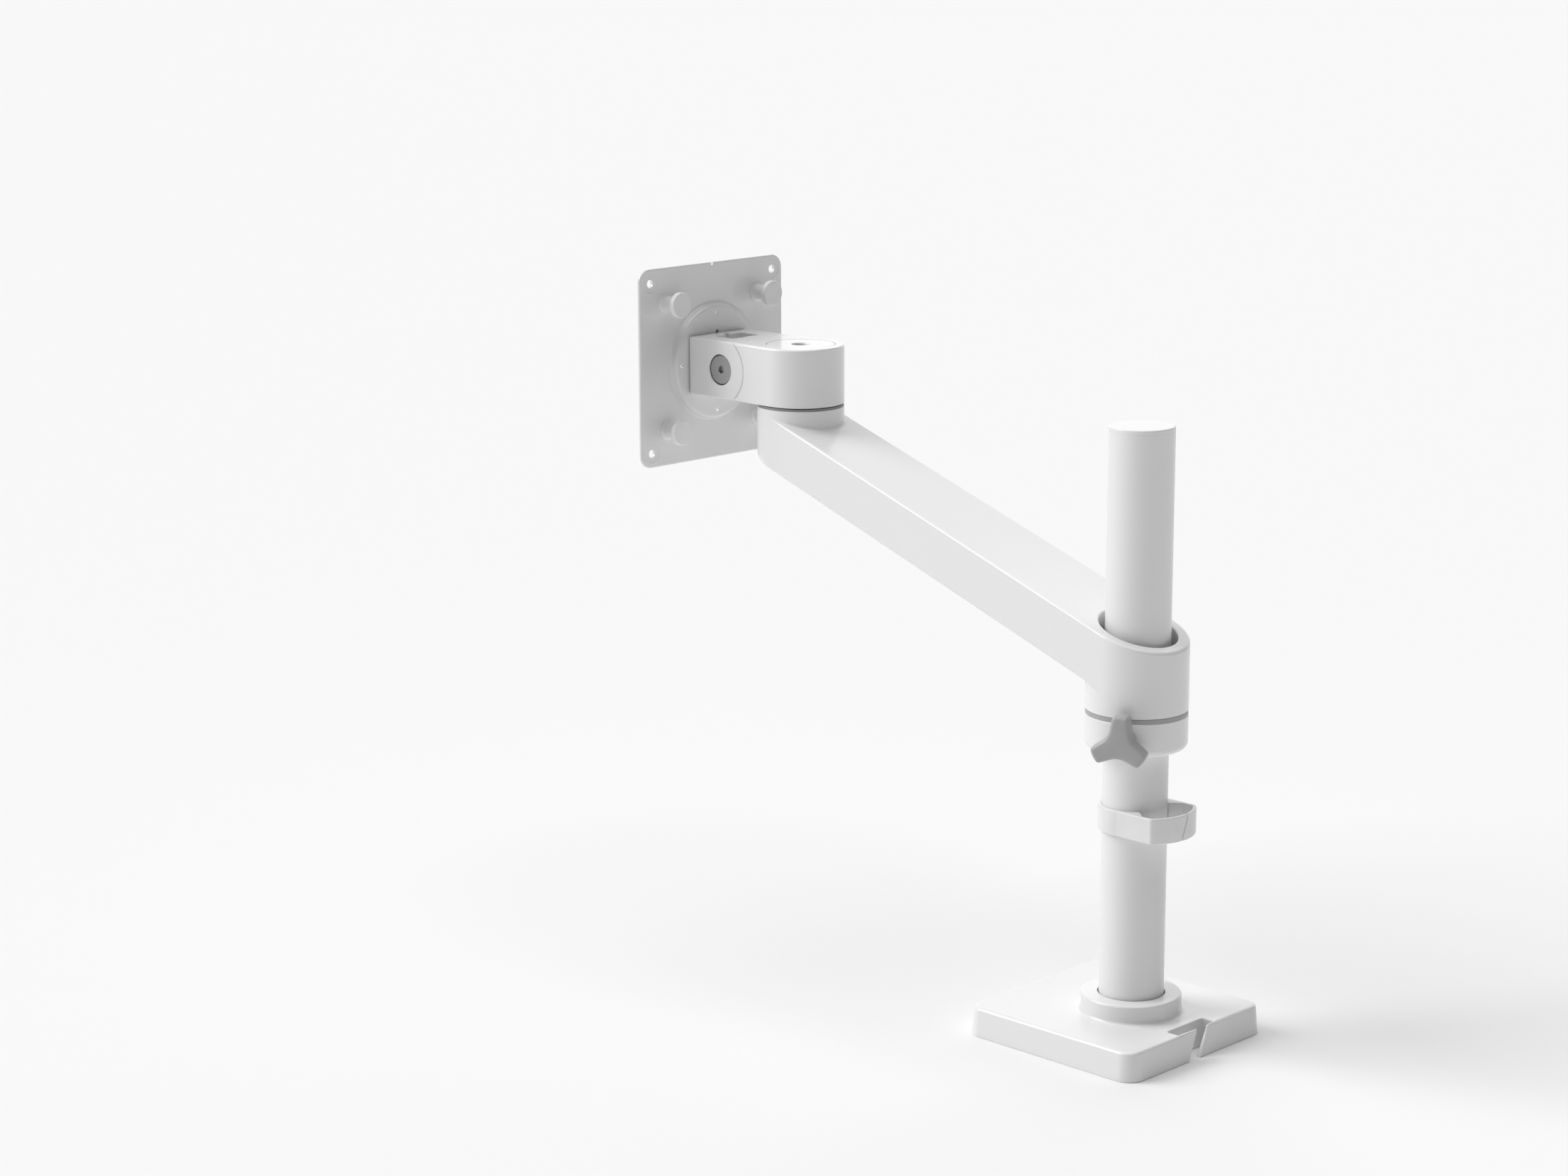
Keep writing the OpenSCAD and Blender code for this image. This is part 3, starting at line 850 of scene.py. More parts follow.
@dataclass
class Pole:
    """Round pole with its end cap."""

    radius: float = 17.5
    wall: float = 2.0
    low: float = 7.0
    seam: float = 332.0
    top: float = 334.5
    cap_inset: float = 2.2
    cap_depth: float = 6.0
    steps: int = 160

    def build(self) -> None:
        """Makes the tube and the cap."""
        r = self.radius
        bore, stem = r - self.wall, r - self.cap_inset
        tube = fillet(
            [(bore, self.low, 0), (r, self.low, 0.3), (r, self.seam, 0.12), (bore, self.seam, 0)],
            3,
        )
        made = lathe("pole_tube", [*tube, tube[0]], self.steps)
        dress(made, PALETTE.tube, "base", ["pole"])
        cap = fillet(
            [
                (0, self.seam - self.cap_depth, 0), (stem, self.seam - self.cap_depth, 0.3),
                (stem, self.seam, 0), (r, self.seam, 0.12), (r, self.top, 0.9), (0, self.top, 0),
            ],
            5,
        )
        made = lathe("pole_cap", cap, self.steps)
        dress(made, PALETTE.tube, "base", ["pole_end_cap"])


@dataclass
class CableClip:
    """Open band that grips the pole and loops round the cables behind it."""

    low: float = 117.3
    high: float = 131.3
    bore_r: float = 17.55
    outer_r: float = 19.65
    side_x: float = 19.3
    wall: float = 2.1
    loop_r: float = 27.4
    loop_y: float = 6.6
    mouth: float = 48.0
    slit: float = 1.0
    lean: float = 5.4
    slit_zone: tuple[float, float] = (5.0, 28.0)
    slit_edge: float = 0.25
    outer_edge: float = 0.9
    inner_edge: float = 0.5
    bore_edge: float = 0.35

    def outlines(self) -> tuple[list[Point2], list[Point2]]:
        """Outer and inner outline of the band."""
        centre = (0.0, self.loop_y)
        x = self.side_x
        corner = degrees(acos(x / self.loop_r))
        grip = degrees(acos(x / self.outer_r))
        outer = arc(centre, self.loop_r, corner, 180 - corner, 30)
        outer += arc((0, 0), self.outer_r, 180 - grip, 360 + grip, 72)
        inner_x, inner_r = x - self.wall, self.loop_r - self.wall
        inside = degrees(acos(inner_x / inner_r))
        inner = arc(centre, inner_r, inside, 180 - inside, 28)
        cheek = inner_x / cos(radians(self.mouth))
        inner.append((-inner_x, cheek * sin(radians(self.mouth))))
        inner += arc((0, 0), self.bore_r, 180 - self.mouth, 360 + self.mouth, 72)
        inner.append((inner_x, cheek * sin(radians(self.mouth))))
        return outer, inner

    def build(self) -> None:
        """Makes the band."""
        outer, inner = self.outlines()
        made = Clay().prism(outer, self.low, self.high).object("cable_band")
        drill(made, inner, self.low - 5, self.high + 5)
        half = self.slit / 2
        blade = [(-half, -6), (half, -6), (half, 6), (-half, 6)]
        lean = degrees(atan2(self.lean, self.high - self.low))
        mid = (self.low + self.high) / 2
        inside_z = (self.high - self.low) / 2 - 0.1
        drill(made, blade, -16, 16, move(0, self.loop_y + self.loop_r, mid) @ turn(-lean, "Y"))

        def width(middle: Vector, bend: float) -> float:
            """Sharp at the slit, softer outside than inside."""
            upright = abs(middle.z - mid) < inside_z
            if upright and abs(middle.x) < self.slit_zone[0] and middle.y > self.slit_zone[1]:
                return self.slit_edge
            if upright:
                return self.outer_edge if bend > 0 else self.inner_edge
            reach = hypot(middle.x, middle.y - (0 if middle.y < 8 else self.loop_y))
            inside = hypot(middle.x, middle.y) < self.bore_r + 0.5
            return self.bore_edge if inside else (0.75 if reach > 19 else 0.6)

        soften(made, width, 3)
        smooth(made)
        dress(made, PALETTE.white, "cable_clip", ["cable_clip"])


@dataclass
class Collar:
    """Clamp collar under the arm, with the thrust washer on it."""

    low: float = 162.4
    high: float = 181.1
    radius: float = 27.4
    bore_r: float = 17.55
    foot: float = 4.2
    screw_hole: float = 5.5
    washer_h: float = 2.4
    steps: int = 160

    def build(self) -> None:
        """Makes the collar and the washer."""
        profile = fillet(
            [
                (self.bore_r, self.low, 0.6), (self.radius, self.low, self.foot),
                (self.radius, self.high, 0.45), (self.bore_r, self.high, 0.2),
            ],
            8,
        )
        made = Clay().revolve([*profile, profile[0]], self.steps).object("collar_ring")
        drill(made, circle(self.screw_hole, 48), 14, 40, AXES.clamp())
        smooth(made)
        dress(made, PALETTE.cast, "collar", ["collar"])
        inner, outer, top = self.bore_r + 0.3, self.radius - 0.2, self.high + self.washer_h
        washer = fillet(
            [(inner, self.high, 0), (outer, self.high, 0.15), (outer, top, 0.12), (inner, top, 0)],
            3,
        )
        made = lathe("thrust_ring", [*washer, washer[0]], self.steps)
        dress(made, PALETTE.grey, "collar", ["thrust_washer"])


@dataclass
class Knob:
    """Three-lobed knob on the clamp screw."""

    inner: float = 30.5
    outer: float = 41.5
    waist: float = 6.8
    reach: float = 15.0
    lobe_w: float = 4.4
    lobe_r: float = 2.3
    blend_r: float = 10.0
    turned: float = -3.0
    soft: float = 2.2
    back_soft: float = 1.0
    crown: float = 0.2
    neck_r: float = 7.2
    neck_gap: float = 1.6

    def outline(self) -> list[Point2]:
        """Plan of the lobes and the hollows between them."""
        corners: list[Corner] = []
        for k in range(3):
            angle = radians(90 + self.turned + 120 * k)
            along, across = Vector((cos(angle), sin(angle))), Vector((-sin(angle), cos(angle)))
            for side, ahead, r in ((-1, 0.0, self.lobe_r), (0, 0.5, 7.0), (1, 0.0, self.lobe_r)):
                spot = along * (self.reach + ahead) + across * (side * self.lobe_w)
                corners.append((spot.x, spot.y, r))
            notch = Vector((cos(angle + pi / 3), sin(angle + pi / 3))) * self.waist
            corners.append((notch.x, notch.y, self.blend_r))
        return fillet(corners, 10)

    def build(self) -> None:
        """Makes the knob's lobes and its neck."""
        plan = self.outline()
        clay = Clay()
        rings = []
        back, face = self.inner + 2, self.outer
        for k in range(4):
            a = pi / 2 * k / 3
            d = self.back_soft * (1 - sin(a))
            z = back + self.back_soft * (1 - cos(a))
            rings.append(clay.level(grown(plan, [-d] * len(plan)), z))
        steps = 7
        for k in range(steps + 1):
            a = pi / 2 * k / steps
            d = self.soft * (1 - cos(a))
            moved = grown(plan, [-d] * len(plan))
            z = face - self.crown - self.soft * (1 - sin(a))
            rings.append(clay.level(moved, z))
        rim = [v.co.copy() for v in rings[-1]]
        for share in (0.72, 0.44, 0.18):
            z = face - self.crown + self.crown * (1 - share * share)
            rings.append(clay.ring((p.x * share, p.y * share, z) for p in rim))
        clay.stack(rings)
        centre = clay.ring([(0, 0, face)])[0]
        last = rings[-1]
        for i, vert in enumerate(last):
            clay.face((vert, last[(i + 1) % len(last)], centre))
        clay.face(rings[0])
        made = clay.placed(AXES.clamp()).object("knob_lobes")
        smooth(made, 50)
        dress(made, PALETTE.grey, "knob", ["clamp_knob"])
        foot = self.inner - self.neck_gap
        neck = fillet(
            [(0, back + 1, 0), (self.neck_r, back + 1, 0), (self.neck_r, foot, 0.8), (0, foot, 0)],
            4,
        )
        made = lathe("knob_neck", neck, 64, AXES.clamp())
        dress(made, PALETTE.grey, "knob", [])


class Stretch(Enum):
    """Stretches of the arm's outline."""

    HUB = "hub"
    FLANK = "flank"
    END = "end"


@dataclass
class Arm:
    """Hollow rising arm with a hub round the pole and a round end under the head."""

    length: float = 269.2
    hub_r: float = 27.4
    end_r: float = 25.3
    hub_z: float = 183.6
    top: float = 226.8
    depth: float = 31.4
    pitch: float = 16.94
    end_rise: float = 3.8
    bore_r: float = 20.9
    top_edge: float = 1.6
    under_edge: float = 3.4
    rim: float = 0.5
    foot: float = 1.8
    channel: tuple[float, float, float] = (36.4, 238.9, 22.0)
    wall: float = 3.0
    ring_bore: float = 6.3
    ring_h: float = 1.35
    ring_inset: float = 0.35
    steps: int = 6
    clay: Clay = field(default_factory=Clay)

    def top_at(self, s: float) -> float:
        """Height of the top face."""
        return self.top + tan(radians(self.pitch)) * s

    def under_at(self, s: float) -> float:
        """Height of the underside."""
        return self.top_at(s) - self.depth

    def end_top(self) -> float:
        """Height of the end's flat top."""
        return self.top_at(self.length) + self.end_rise

    def plan(self) -> tuple[list[Point2], list[Stretch]]:
        """Anticlockwise outline, with the stretch that each point is on."""
        beta = degrees(asin((self.hub_r - self.end_r) / self.length))
        a = 90 - beta
        hub = arc((0, 0), self.hub_r, a, 360 - a, 96)
        end = arc((self.length, 0), self.end_r, -a, a, 96)
        shares = [0.006, 0.014, 0.024, 0.036, 0.06, 0.1, 0.2, 0.35, 0.5, 0.65, 0.8, 0.9]
        shares += [0.94, 0.96, 0.975, 0.988, 0.995]

        def between(p: Point2, q: Point2) -> list[Point2]:
            """Points along a flank."""
            return [(p[0] + (q[0] - p[0]) * t, p[1] + (q[1] - p[1]) * t) for t in shares]

        low = between(hub[-1], end[0])
        high = list(reversed(between(hub[0], end[-1])))
        points = [*hub, *low, *end, *high]
        runs = ((Stretch.HUB, hub), (Stretch.FLANK, low), (Stretch.END, end), (Stretch.FLANK, high))
        return points, [kind for kind, run in runs for _ in run]

    def shell(self) -> bpy.types.Object:
        """The casting's whole skin."""
        clay = self.clay
        points, kinds = self.plan()
        normals = outward(points)
        count = len(points)
        hub_count = kinds.count(Stretch.HUB)
        low_count = kinds.index(Stretch.END) - hub_count
        end_start, end_count = hub_count + low_count, kinds.count(Stretch.END)
        end_last = end_start + end_count - 1
        tangents = {0, hub_count - 1, end_start, end_last}

        def upper(i: int) -> float:
            """Rounding of the top edge at a point."""
            if kinds[i] is Stretch.END:
                return 0.0
            return self.top_edge * ease_in((self.length - points[i][0]) / 16)

        def lower(i: int) -> float:
            """Rounding of the underside's edge at a point."""
            if kinds[i] is Stretch.HUB:
                return 0.0
            return self.under_edge * ease_in((points[i][0] - 0.3) / 14)

        def skin(i: int, inset: float, z_of: Callable[[float], float], lift: float) -> Vector:
            """A point moved inwards, at a face's height plus a lift."""
            x, y = points[i][0] - normals[i].x * inset, points[i][1] - normals[i].y * inset
            return Vector((x, y, z_of(x) + lift))

        def wall_top(i: int) -> float:
            """Where the wall ends under the top rounding, or under the raised end."""
            x = points[i][0]
            if kinds[i] is Stretch.END and i not in tangents:
                return min(self.top_at(x), self.end_top() - self.rim - 0.4)
            return self.top_at(x) - upper(i)

        foot_row = clay.ring(
            (*points[i], self.under_at(points[i][0]) + lower(i)) for i in range(count)
        )
        head_row = clay.ring((*points[i], wall_top(i)) for i in range(count))
        clay.strip(foot_row, head_row)

        # Underside: rounding along the flanks and the end, and the hub's skirt.
        order = list(range(hub_count - 1, count)) + [0]
        rows = [[foot_row[i] for i in order]]
        for k in range(1, self.steps + 1):
            a = pi / 2 * k / self.steps
            rows.append(
                clay.ring(
                    skin(i, lower(i) * (1 - cos(a)), self.under_at, lower(i) * (1 - sin(a)))
                    for i in order
                )
            )
        clay.stack(rows, closed=False)
        inner_steps = 96
        beta = degrees(asin((self.hub_r - self.end_r) / self.length))
        facing = arc((0, 0), self.hub_r, -(90 - beta), 90 - beta, inner_steps)
        under_arc = clay.ring((x, y, self.under_at(x)) for x, y in facing[1:-1])
        skirt_top = [foot_row[i] for i in range(hub_count)] + under_arc
        hub_circle = points[:hub_count] + facing[1:-1]
        skirt = [skirt_top]
        bevel = ((0.0, self.rim), (self.rim * 0.3, self.rim * 0.3), (self.rim, 0.0))
        for d, z in bevel:
            k = 1 - d / self.hub_r
            skirt.append(clay.ring((x * k, y * k, self.hub_z + z) for x, y in hub_circle))
        share = self.bore_r / self.hub_r
        bore = [(x * share, y * share) for x, y in hub_circle]
        bore_low = clay.level(bore, self.hub_z)
        clay.stack([*skirt, bore_low])

        # Top: rounding along the hub and the flanks, and the raised end's foot.
        order = list(range(end_last, count)) + list(range(0, end_start + 1))
        rows_top = [[head_row[i] for i in order]]
        for k in range(1, self.steps + 1):
            a = pi / 2 * k / self.steps
            rows_top.append(
                clay.ring(
                    skin(i, upper(i) * (1 - cos(a)), self.top_at, -upper(i) * (1 - sin(a)))
                    for i in order
                )
            )
        clay.stack(rows_top, closed=False)
        back = arc((0, 0), 1.0, 90 - beta, 270 + beta, inner_steps)[1:-1]
        swell = [
            self.foot * ease_in(min(k + 1, len(back) - k) / len(back) * 5) for k in range(len(back))
        ]

        def round_end(reach: Callable[[float], float], lift: Callable[[float], float]) -> Loop:
            """A row round the back of the raised end, by its foot's rounding."""
            made = []
            for (c, d), f in zip(back, swell):
                r = self.end_r + reach(f)
                x, y = self.length + c * r, d * r
                made.append((x, y, self.top_at(x) + lift(f)))
            return clay.ring(made)

        feet = [round_end(lambda f: f, lambda f: 0.0)]
        for k in range(1, 5):
            a = pi / 2 * k / 4
            feet.append(round_end(lambda f, a=a: f * (1 - sin(a)), lambda f, a=a: f * (1 - cos(a))))
        right, left = head_row[end_start], head_row[end_last]
        for low, high in zip(feet, feet[1:]):
            clay.strip([left, *low, right], [left, *high, right], closed=False)
        end_ring_low = [head_row[i] for i in range(end_start, end_last + 1)] + feet[-1]
        whole = points[end_start : end_last + 1] + [
            (self.length + c * self.end_r, d * self.end_r) for c, d in back
        ]
        collar = [end_ring_low]
        far = self.length
        for d, z in bevel:
            k, level = 1 - d / self.end_r, self.end_top() - z
            collar.append(clay.ring((far + (x - far) * k, y * k, level) for x, y in whole))
        clay.stack(collar)
        clay.face(collar[-1])

        # Top face round the pole's opening, whose edge is rounded.
        lip = 1.0
        mouths = []
        for k in range(5):
            a = pi / 2 * k / 4
            r = self.bore_r + lip * (1 - sin(a))
            drop = lip * (1 - cos(a))
            ring = [(x * r / self.hub_r, y * r / self.hub_r) for x, y in hub_circle]
            mouths.append(clay.ring((x, y, self.top_at(x) - drop) for x, y in ring))
        clay.stack([*mouths, bore_low])
        clay.fill(rows_top[-1] + list(reversed(feet[0])), mouths[0])

        # Underside face round the channel.
        s0, s1, half = self.channel
        ceiling = self.wall / cos(radians(self.pitch))
        corners = fillet([(s0, -half, 3), (s1, -half, 3), (s1, half, 3), (s0, half, 3)], 5)
        mouth = clay.ring((x, y, self.under_at(x)) for x, y in corners)
        roof = clay.ring((x, y, self.top_at(x) - ceiling) for x, y in corners)
        clay.stack([mouth, roof])
        clay.face(roof)
        clay.fill(rows[-1] + list(reversed(under_arc)), mouth)
        made = clay.placed(AXES.arm()).object("arm_shell")
        smooth(made, 40)
        return made

    def build(self) -> None:
        """Makes the casting and the ring under the head."""
        dress(self.shell(), PALETTE.cast, "arm", ["arm_casting"])
        z = self.end_top()
        r, bore, top = self.end_r - self.ring_inset, self.ring_bore, z + self.ring_h
        ring = fillet([(bore, z, 0), (r, z, 0.2), (r, top, 0.35), (bore, top, 0)], 3)
        made = lathe("pan_ring", [*ring, ring[0]], 128, AXES.pan())
        dress(made, PALETTE.seam, "arm", ["pan_washer"])
        guides = eased_copy("arm_cable_guides", 0.5)
        dress(guides, PALETTE.dark, "arm", ["arm_cable_guides"])


@dataclass
class Head:
    """Head that pans on the arm's end and carries the tilt bracket on a tongue."""

    radius: float = 25.3
    low: float = 314.3945
    height: float = 33.9
    half_w: float = 23.7
    tilt_offset: float = 42.5
    pocket_r: float = 20.0
    tongue: float = 10.2
    cap_r: float = 20.2
    cap_seat: float = 3.0
    cap_gap: float = 0.42
    cap_sunk: float = 0.02
    key_r: float = 4.9
    key_mouth: float = 5.6
    well_r: float = 11.0
    well_h: float = 10.2

    def plan(self) -> list[Point2]:
        """Outline from above, centred on the pan axis."""
        far = -(self.tilt_offset + self.height / 2)
        reach = Vector((self.half_w, 11 - self.tilt_offset))
        lean = atan2(-reach.y, reach.x)
        touch = degrees(acos(self.radius / reach.length) - lean)
        bow = arc((0, 0), self.radius, touch, 180 - touch, 110)
        shoulder = 8.0 - self.tilt_offset
        return [
            *bow, (-self.half_w, reach.y), (-self.half_w, shoulder), (-self.tongue, shoulder),
            (-self.tongue, far), (self.tongue, far), (self.tongue, shoulder),
            (self.half_w, shoulder), (self.half_w, reach.y),
        ]

    def build(self) -> None:
        """Makes the head and its cap."""
        high = self.low + self.height
        mid = (self.low + high) / 2
        made = Clay().prism(self.plan(), self.low, high).object("head_block")
        half = self.height / 2
        nose = [(-x, -y) for x, y in arc((0, 0), half, -90, 90, 48)]
        past, far = half + 9, half + 20
        tool = [*nose, (0, -past), (-far, -past), (-far, past), (0, past)]
        side_on = move(0, -self.tilt_offset, mid) @ turn(90, "Z") @ turn(90, "X")
        drill(made, tool, -30, 30, side_on)

        def width(middle: Vector, bend: float) -> float:
            """Rounding by where the edge runs."""
            if bend < 0:
                return 0.0
            if middle.y < -self.tilt_offset + 8.5 or abs(middle.x) < self.tongue + 0.3:
                return 0.5
            if abs(middle.z - self.low) < 0.2 and middle.y > -20:
                return 0.5
            if abs(middle.z - high) < 0.2 or abs(middle.z - self.low) < 0.2:
                return 1.5
            return 0.7

        def rim(middle: Vector, bend: float) -> float:
            """Small break round the lid's seat."""
            return 0.25 if bend > 0 and abs(hypot(middle.x, middle.y) - self.cap_r) < 0.4 else 0.0

        soften(made, width, 4, 36)
        across = move(0, -self.tilt_offset, mid) @ turn(90, "Y")
        for side in (1, -1):
            z0, z1 = sorted((side * self.tongue, side * 40))
            drill(made, circle(self.pocket_r, 128), z0, z1, across)
        seat = high - self.cap_seat
        drill(made, circle(self.cap_r, 128), seat, high + 5)
        soften(made, rim, 2, 60)
        drill(made, circle(self.well_r, 64), high - self.well_h, high + 0.5)
        made.data.transform(Matrix.Translation(AXES.pan().translation * MM))
        smooth(made, 38)
        dress(made, PALETTE.cast, "head", ["head_casting"])
        r, key, top = self.cap_r - self.cap_gap, self.key_r, high - self.cap_sunk
        cap = fillet(
            [
                (key, seat, 0), (r, seat, 0), (r, top, 0.3),
                (self.key_mouth, top, 0.4), (key, high - 1.2, 0),
            ],
            4,
        )
        made = lathe("head_lid", [*cap, cap[0]], 128, AXES.pan())
        dress(made, PALETTE.cast, "head", ["head_cap"])
        dress(eased_copy("pan_bolt", 0.35), PALETTE.steel, "arm", ["pan_bolt"])


@dataclass
class Bracket:
    """Forked bracket that tilts on the head's tongue and carries the plate."""

    half_w: float = 23.7
    half_h: float = 16.95
    ear_r: float = 19.3
    ear_in: float = 11.3
    reach: float = 25.6
    web: float = 17.45
    bolt_pocket: float = 9.1
    bolt_seat: float = 3.6
    nut_pocket: float = 9.5
    slot: float = 1.7
    # Sizes of the dark rings that are painted shade in the gaps round the bolt's head and its nut.
    shade_ring_r: float = 8.45
    shade_ring_h: float = 1.4
    shade_ring_sunk: float = 0.9
    shade_ring_gap: float = 0.02

    def build(self) -> None:
        """Makes the fork, and eases its bolt and nut."""
        stop = degrees(asin(self.half_h / self.ear_r))
        side = [
            *arc((0, 0), self.ear_r, -stop, stop, 48),
            (-self.reach, self.half_h), (-self.reach, -self.half_h),
        ]
        lie = turn(90, "Z") @ turn(90, "X")
        made = Clay().prism(side, -self.half_w, self.half_w).placed(lie).object("bracket_fork")
        w = self.ear_in
        drill(made, [(-w, -self.web), (w, -self.web), (w, 40), (-w, 40)], -30, 30)

        def width(middle: Vector, bend: float) -> float:
            """Rounding by where the edge runs."""
            if bend < 0:
                return 0.0
            if middle.y < -self.reach + 0.3:
                return 0.5
            if abs(middle.x) > self.half_w - 0.3:
                return 1.25
            return 0.45

        def rim(middle: Vector, bend: float) -> float:
            """Small break round each pocket for a bolt."""
            inside = hypot(middle.y, middle.z) < self.bolt_pocket + 0.4
            return 0.25 if inside and bend > 0 and abs(middle.x) > self.half_w - 0.3 else 0.0

        soften(made, width, 4, 36)
        across = turn(90, "Y")
        for z0, z1 in ((self.half_w - self.bolt_seat, 40), (-40, self.bolt_seat - self.half_w)):
            drill(made, circle(self.bolt_pocket, 96), z0, z1, across)
        soften(made, rim, 2, 60)
        drill(made, circle(self.nut_pocket, 64), self.web - 3, self.web + 4, turn(90, "X"))
        w, y0, y1 = self.slot, -self.web - 3, -self.web + 3
        drill(made, [(-w, y0), (w, y0), (w, y1), (-w, y1)], self.half_h - 8, self.half_h + 5)
        made.data.transform(Matrix.Translation(AXES.tilt().translation * MM))
        smooth(made, 38)
        dress(made, PALETTE.cast, "bracket", ["tilt_bracket"])
        spot = AXES.tilt().translation * MM
        disc = TurnedSteel("turned_steel_disc", (0.43, 0.43, 0.435), 0.36, 0.9, centre=tuple(spot))
        for node in ("tilt_bolt", "tilt_nut"):
            dress(eased_copy(node, 0.3), disc, "bracket", [node])
        # Dark rings in the gaps round the bolt's head and nut: painted shade, not a real part.
        self.gap_shade_rings()

    def gap_shade_rings(self) -> None:
        """Makes dark rings in the gaps round the bolt's head and its nut, as painted shade for the
        shadow in those gaps.
        """
        for name, side in (("bolt_gap_shade", 1), ("nut_gap_shade", -1)):
            face = self.half_w - self.shade_ring_sunk
            foot = face - self.shade_ring_h
            low, high = self.shade_ring_r, self.bolt_pocket - self.shade_ring_gap
            ring = [(low, foot), (high, foot), (high, face), (low, face), (low, foot)]
            made = lathe(name, ring, 96, AXES.tilt() @ turn(90 * side, "Y"))
            # The dark finish on these rings is painted shade for the shadow in the gap.
            dress(made, PALETTE.dark, "bracket", [])


@dataclass
class ScreenPlate:
    """Square plate with a raised round panel, and its four thumb screws."""

    half: float = 58.5
    corner: float = 8.0
    back: float = 30.4
    sheet: float = 2.5
    dish: float = 26.4
    dish_foot: float = 35.2
    bore_r: float = 8.0
    cavity_r: float = 31.2
    outer: float = 50.0
    inner: float = 37.5
    hole_r: float = 2.4
    inner_hole_r: float = 2.1
    bead_r: float = 5.4
    bead_h: float = 0.22
    marker: float = 29.0
    near_marker: float = 17.65
    marker_r: float = 1.3
    notch: tuple[float, float] = (1.1, 2.1)
    rolled: tuple[float, float] = (1.0, 1.1)
    screw_reach: float = 14.0
    grip_r: float = 7.5
    stem_r: float = 4.5
    seat_r: float = 6.0
    thread_r: float = 2.0
    thread: float = 10.5

    def build(self) -> None:
        """Makes the plate and the thumb screws."""
        clay = Clay()
        h, r = self.half, self.corner
        w, d = self.notch
        notch = [(6.0, h, 0), (w + 0.5, h, 0), (w, h, 0), (w - 0.3, h - d + 0.4, 0), (0, h - d, 0)]
        notch += [(-x, y, 0) for x, y, _ in reversed(notch[:-1])]
        plan = fillet([(h, -h, r), (h, h, r), *notch, (-h, h, r), (-h, -h, r)], 10)
        share = [0.12 if abs(x) < 1.5 and y > h - 3 else 1.0 for x, y in plan]
        rings = []
        for side, order in ((0, range(6)), (1, range(5, -1, -1))):
            for k in order:
                a = pi / 2 * k / 5
                lost = self.rolled[1] * (1 - cos(a))
                z = self.back + lost if side == 0 else self.back + self.sheet - lost
                inset = self.rolled[0] * (1 - sin(a))
                rings.append(clay.level(grown(plan, [-inset * part for part in share]), z))
        clay.stack(rings)
        foot, front, rear = self.dish_foot, self.dish + self.sheet, self.back + self.sheet
        crown = fillet(
            [
                (foot + 6, self.back, 0), (foot - 0.6, self.back, 1.6),
                (foot - 1.8, self.dish, 2.0), (self.bore_r, self.dish, 0.3),
                (self.bore_r, front, 0.2), (self.cavity_r, front, 1.2),
                (self.cavity_r, rear, 0.6), (self.cavity_r + 4, rear, 0),
            ],
            5,
        )
        rows = [clay.level(circle(radius, 128), z) for radius, z in crown[1:-1]]
        clay.stack(rows)
        clay.fill(rings[0], rows[0])
        clay.fill(rings[-1], rows[-1])
        made = clay.object("screen_plate")
        low, high = self.back - 5, self.back + 9
        for reach, radius in ((self.outer, self.hole_r), (self.inner, self.inner_hole_r)):
            for sx, sy in CORNERS:
                spot = (sx * reach, sy * reach)
                drill(made, circle(radius, 40, spot), low, high)
                if reach == self.outer:
                    drill(made, circle(self.bead_r, 56, spot), low, self.back + self.bead_h)
        m = self.marker
        for spot in ((m, 0), (0, m), (-m, 0), (0, -m), (0, self.near_marker)):
            drill(made, circle(self.marker_r, 28, spot), self.dish - 5, high)

        def width(middle: Vector, bend: float) -> float:
            """Small breaks at the holes."""
            return 0.14 if bend > 0 else 0.1

        soften(made, width, 2, 50)
        made.data.transform(Matrix.Scale(MM, 4) @ AXES.plate() @ Matrix.Scale(1 / MM, 4))
        smooth(made, 38)
        dress(made, PALETTE.sheet, "plate", ["vesa_plate"])
        self.screws()

    def screws(self) -> None:
        """Makes the thumb screws, one object for the four."""
        b, top, end = self.back, self.back - self.screw_reach, self.back + self.thread
        profile = fillet(
            [
                (0, top, 0), (self.grip_r, top, 0.8), (self.grip_r, top + 3.6, 1.0),
                (self.stem_r + 0.1, top + 4.6, 1.8), (self.stem_r, b - 1.2, 0.8),
                (self.seat_r, b - 0.5, 0.3), (self.seat_r, b, 0), (self.thread_r, b, 0),
                (self.thread_r, end - 0.9, 0.5), (0, end, 0),
            ],
            5,
        )
        clay = Clay()
        for sx, sy in CORNERS:
            one = Clay().revolve(profile, 56).placed(move(sx * self.inner, sy * self.inner, 0))
            data = bpy.data.meshes.new("tool")
            one.bm.to_mesh(data)
            clay.bm.from_mesh(data)
            bpy.data.meshes.remove(data)
        made = clay.placed(AXES.plate()).object("thumb_screw_set")
        smooth(made)
        dress(made, PALETTE.white, "plate", ["thumb_screws"])


@dataclass
class Fittings:
    """Frame nodes that keep their shape and get a better finish."""

    finishes: dict[str, Finish] = field(default_factory=lambda: PALETTE.by_slot())

    def build(self) -> None:
        """Dresses every node that is still shown."""
        slots = {part["node"]: part["material_slot"] for part in frame["record"]["subparts"]}
        for name, obj in frame["nodes"].items():
            if obj.hide_render:
                continue
            finish = self.finishes[slots[name]]
            obj.data.materials.clear()
            obj.data.materials.append(finish.material())
            log.info("%s keeps its shape and gets %s", name, finish.name)


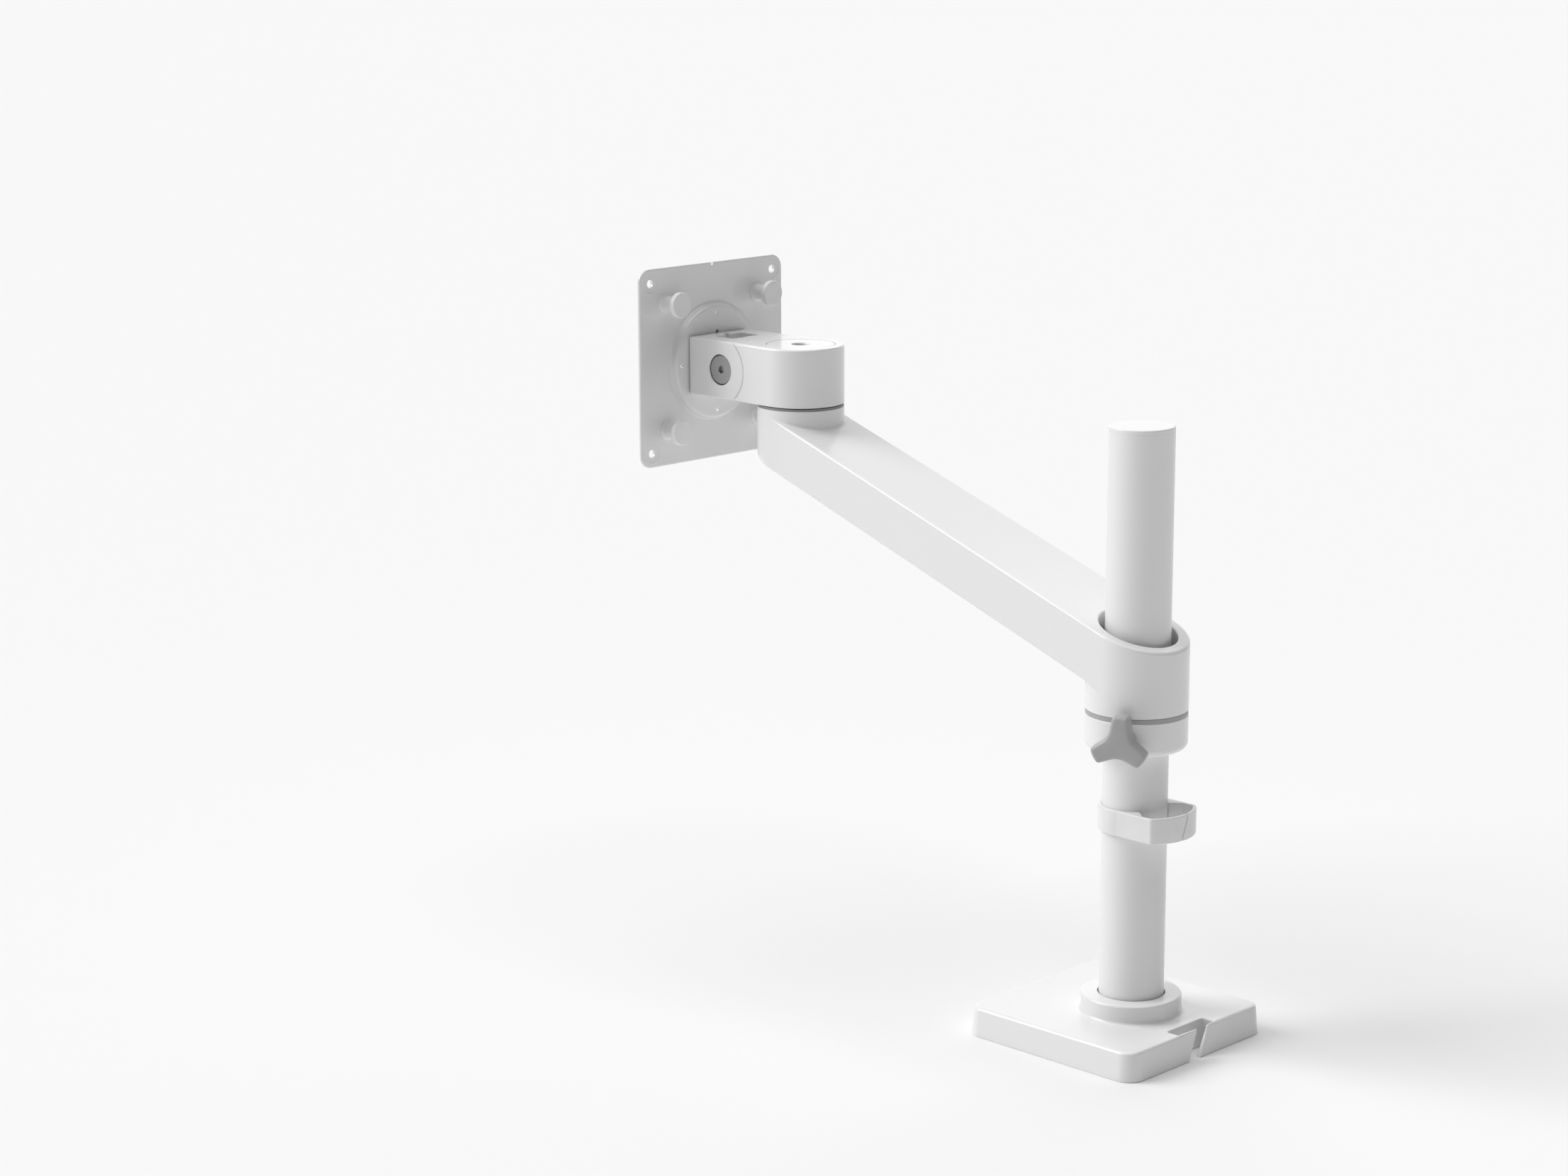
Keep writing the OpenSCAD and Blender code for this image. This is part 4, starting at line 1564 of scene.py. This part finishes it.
@dataclass
class Studio:
    """Pale floor, soft lights and the camera."""

    floor: float = 0.86
    floor_half: float = 40000.0
    floor_drop: float = 0.05
    sky: float = 0.12
    glow: float = 1.15
    glow_way: Corner = (-0.80, -0.52, 0.34)
    glow_edge: tuple[float, float] = (0.72, 0.93)
    above: float = 1.42
    above_spread: float = 60.0
    side: float = 2.08
    side_spread: float = 38.0
    side_yaw: float = -51.6
    side_rise: float = 38.0
    camera_at: Corner = (1345.3, 1065.8, 623.3)
    lens: float = 76.54
    sensor: float = 36.0
    clip_end: float = 200.0
    yaw: float = 134.61
    dip: float = 12.38
    roll: float = -0.21

    def lamp(self, name: str, yaw: float, rise: float, spread: float, power: float) -> None:
        """Adds a far soft light.

        Args:
            name: The light's name.
            yaw: Direction that it stands in, in degrees from the x axis.
            rise: Its height over the horizon, in degrees.
            spread: How wide it looks, in degrees.
            power: Its strength.
        """
        light = bpy.data.lights.new(name, "SUN")
        light.angle = radians(spread)
        light.energy = power
        made = bpy.data.objects.new(name, light)
        flat = cos(radians(rise))
        away = Vector((cos(radians(yaw)) * flat, sin(radians(yaw)) * flat, sin(radians(rise))))
        made.rotation_euler = away.to_track_quat("Z", "Y").to_euler()
        bpy.context.scene.collection.objects.link(made)

    def sweep(self) -> None:
        """Floor, in its own pale finish."""
        clay = Clay()
        far = self.floor_half
        corners = [(-far, -far), (far, -far), (far, far), (-far, far)]
        clay.face(clay.level(corners, -self.floor_drop))
        made = clay.object("studio_floor")
        pale = bpy.data.materials.new("pale_floor")
        pale.use_nodes = True
        shader = pale.node_tree.nodes["Principled BSDF"]
        shader.inputs["Base Color"].default_value = (self.floor, self.floor, self.floor, 1)
        shader.inputs["Roughness"].default_value = 0.9
        shader.inputs["Specular IOR Level"].default_value = 0.1
        made.data.materials.append(pale)

    def sky_glow(self) -> None:
        """Dim light from all round, with a wide bright panel behind the arm."""
        world = bpy.data.worlds.new("studio_sky")
        world.use_nodes = True
        bpy.context.scene.world = world
        bench = Bench(world.node_tree)
        way = tuple(Vector(self.glow_way).normalized())
        ray = bench.node("ShaderNodeTexCoord", {}, {}, "Generated")
        near = bench.vector("DOT_PRODUCT", ray, way, output="Value")
        panel = bench.node(
            "ShaderNodeMapRange",
            {"interpolation_type": "SMOOTHSTEP"},
            {
                "Value": near,
                "From Min": self.glow_edge[0],
                "From Max": self.glow_edge[1],
                "To Min": self.sky,
                "To Max": self.glow,
            },
        )
        back = world.node_tree.nodes["Background"]
        back.inputs["Color"].default_value = (1, 1, 1, 1)
        world.node_tree.links.new(panel.socket, back.inputs["Strength"])

    def build(self) -> None:
        """Makes the floor, the lights and the camera."""
        self.sweep()
        self.sky_glow()
        self.lamp("overhead", 0, 90, self.above_spread, self.above)
        self.lamp("left_side", self.side_yaw, self.side_rise, self.side_spread, self.side)
        data = bpy.data.cameras.new("camera")
        data.lens = self.lens
        data.sensor_width = self.sensor
        data.clip_end = self.clip_end
        camera = bpy.data.objects.new("camera", data)
        camera.matrix_world = (
            Matrix.Translation(Vector(self.camera_at) * MM)
            @ turn(self.yaw, "Z")
            @ turn(90 - self.dip, "X")
            @ turn(self.roll, "Z")
        )
        bpy.context.scene.collection.objects.link(camera)
        bpy.context.scene.camera = camera
        bpy.context.scene.view_settings.view_transform = "Standard"


def main() -> None:
    """Builds the arm from the desk up, then the studio."""
    logging.basicConfig(level=logging.INFO, format="%(name)s: %(message)s")
    parts = (Base, Pole, CableClip, Collar, Knob, Arm, Head, Bracket, ScreenPlate, Fittings, Studio)
    for part in parts:
        part().build()


if __name__ == "__main__":
    main()
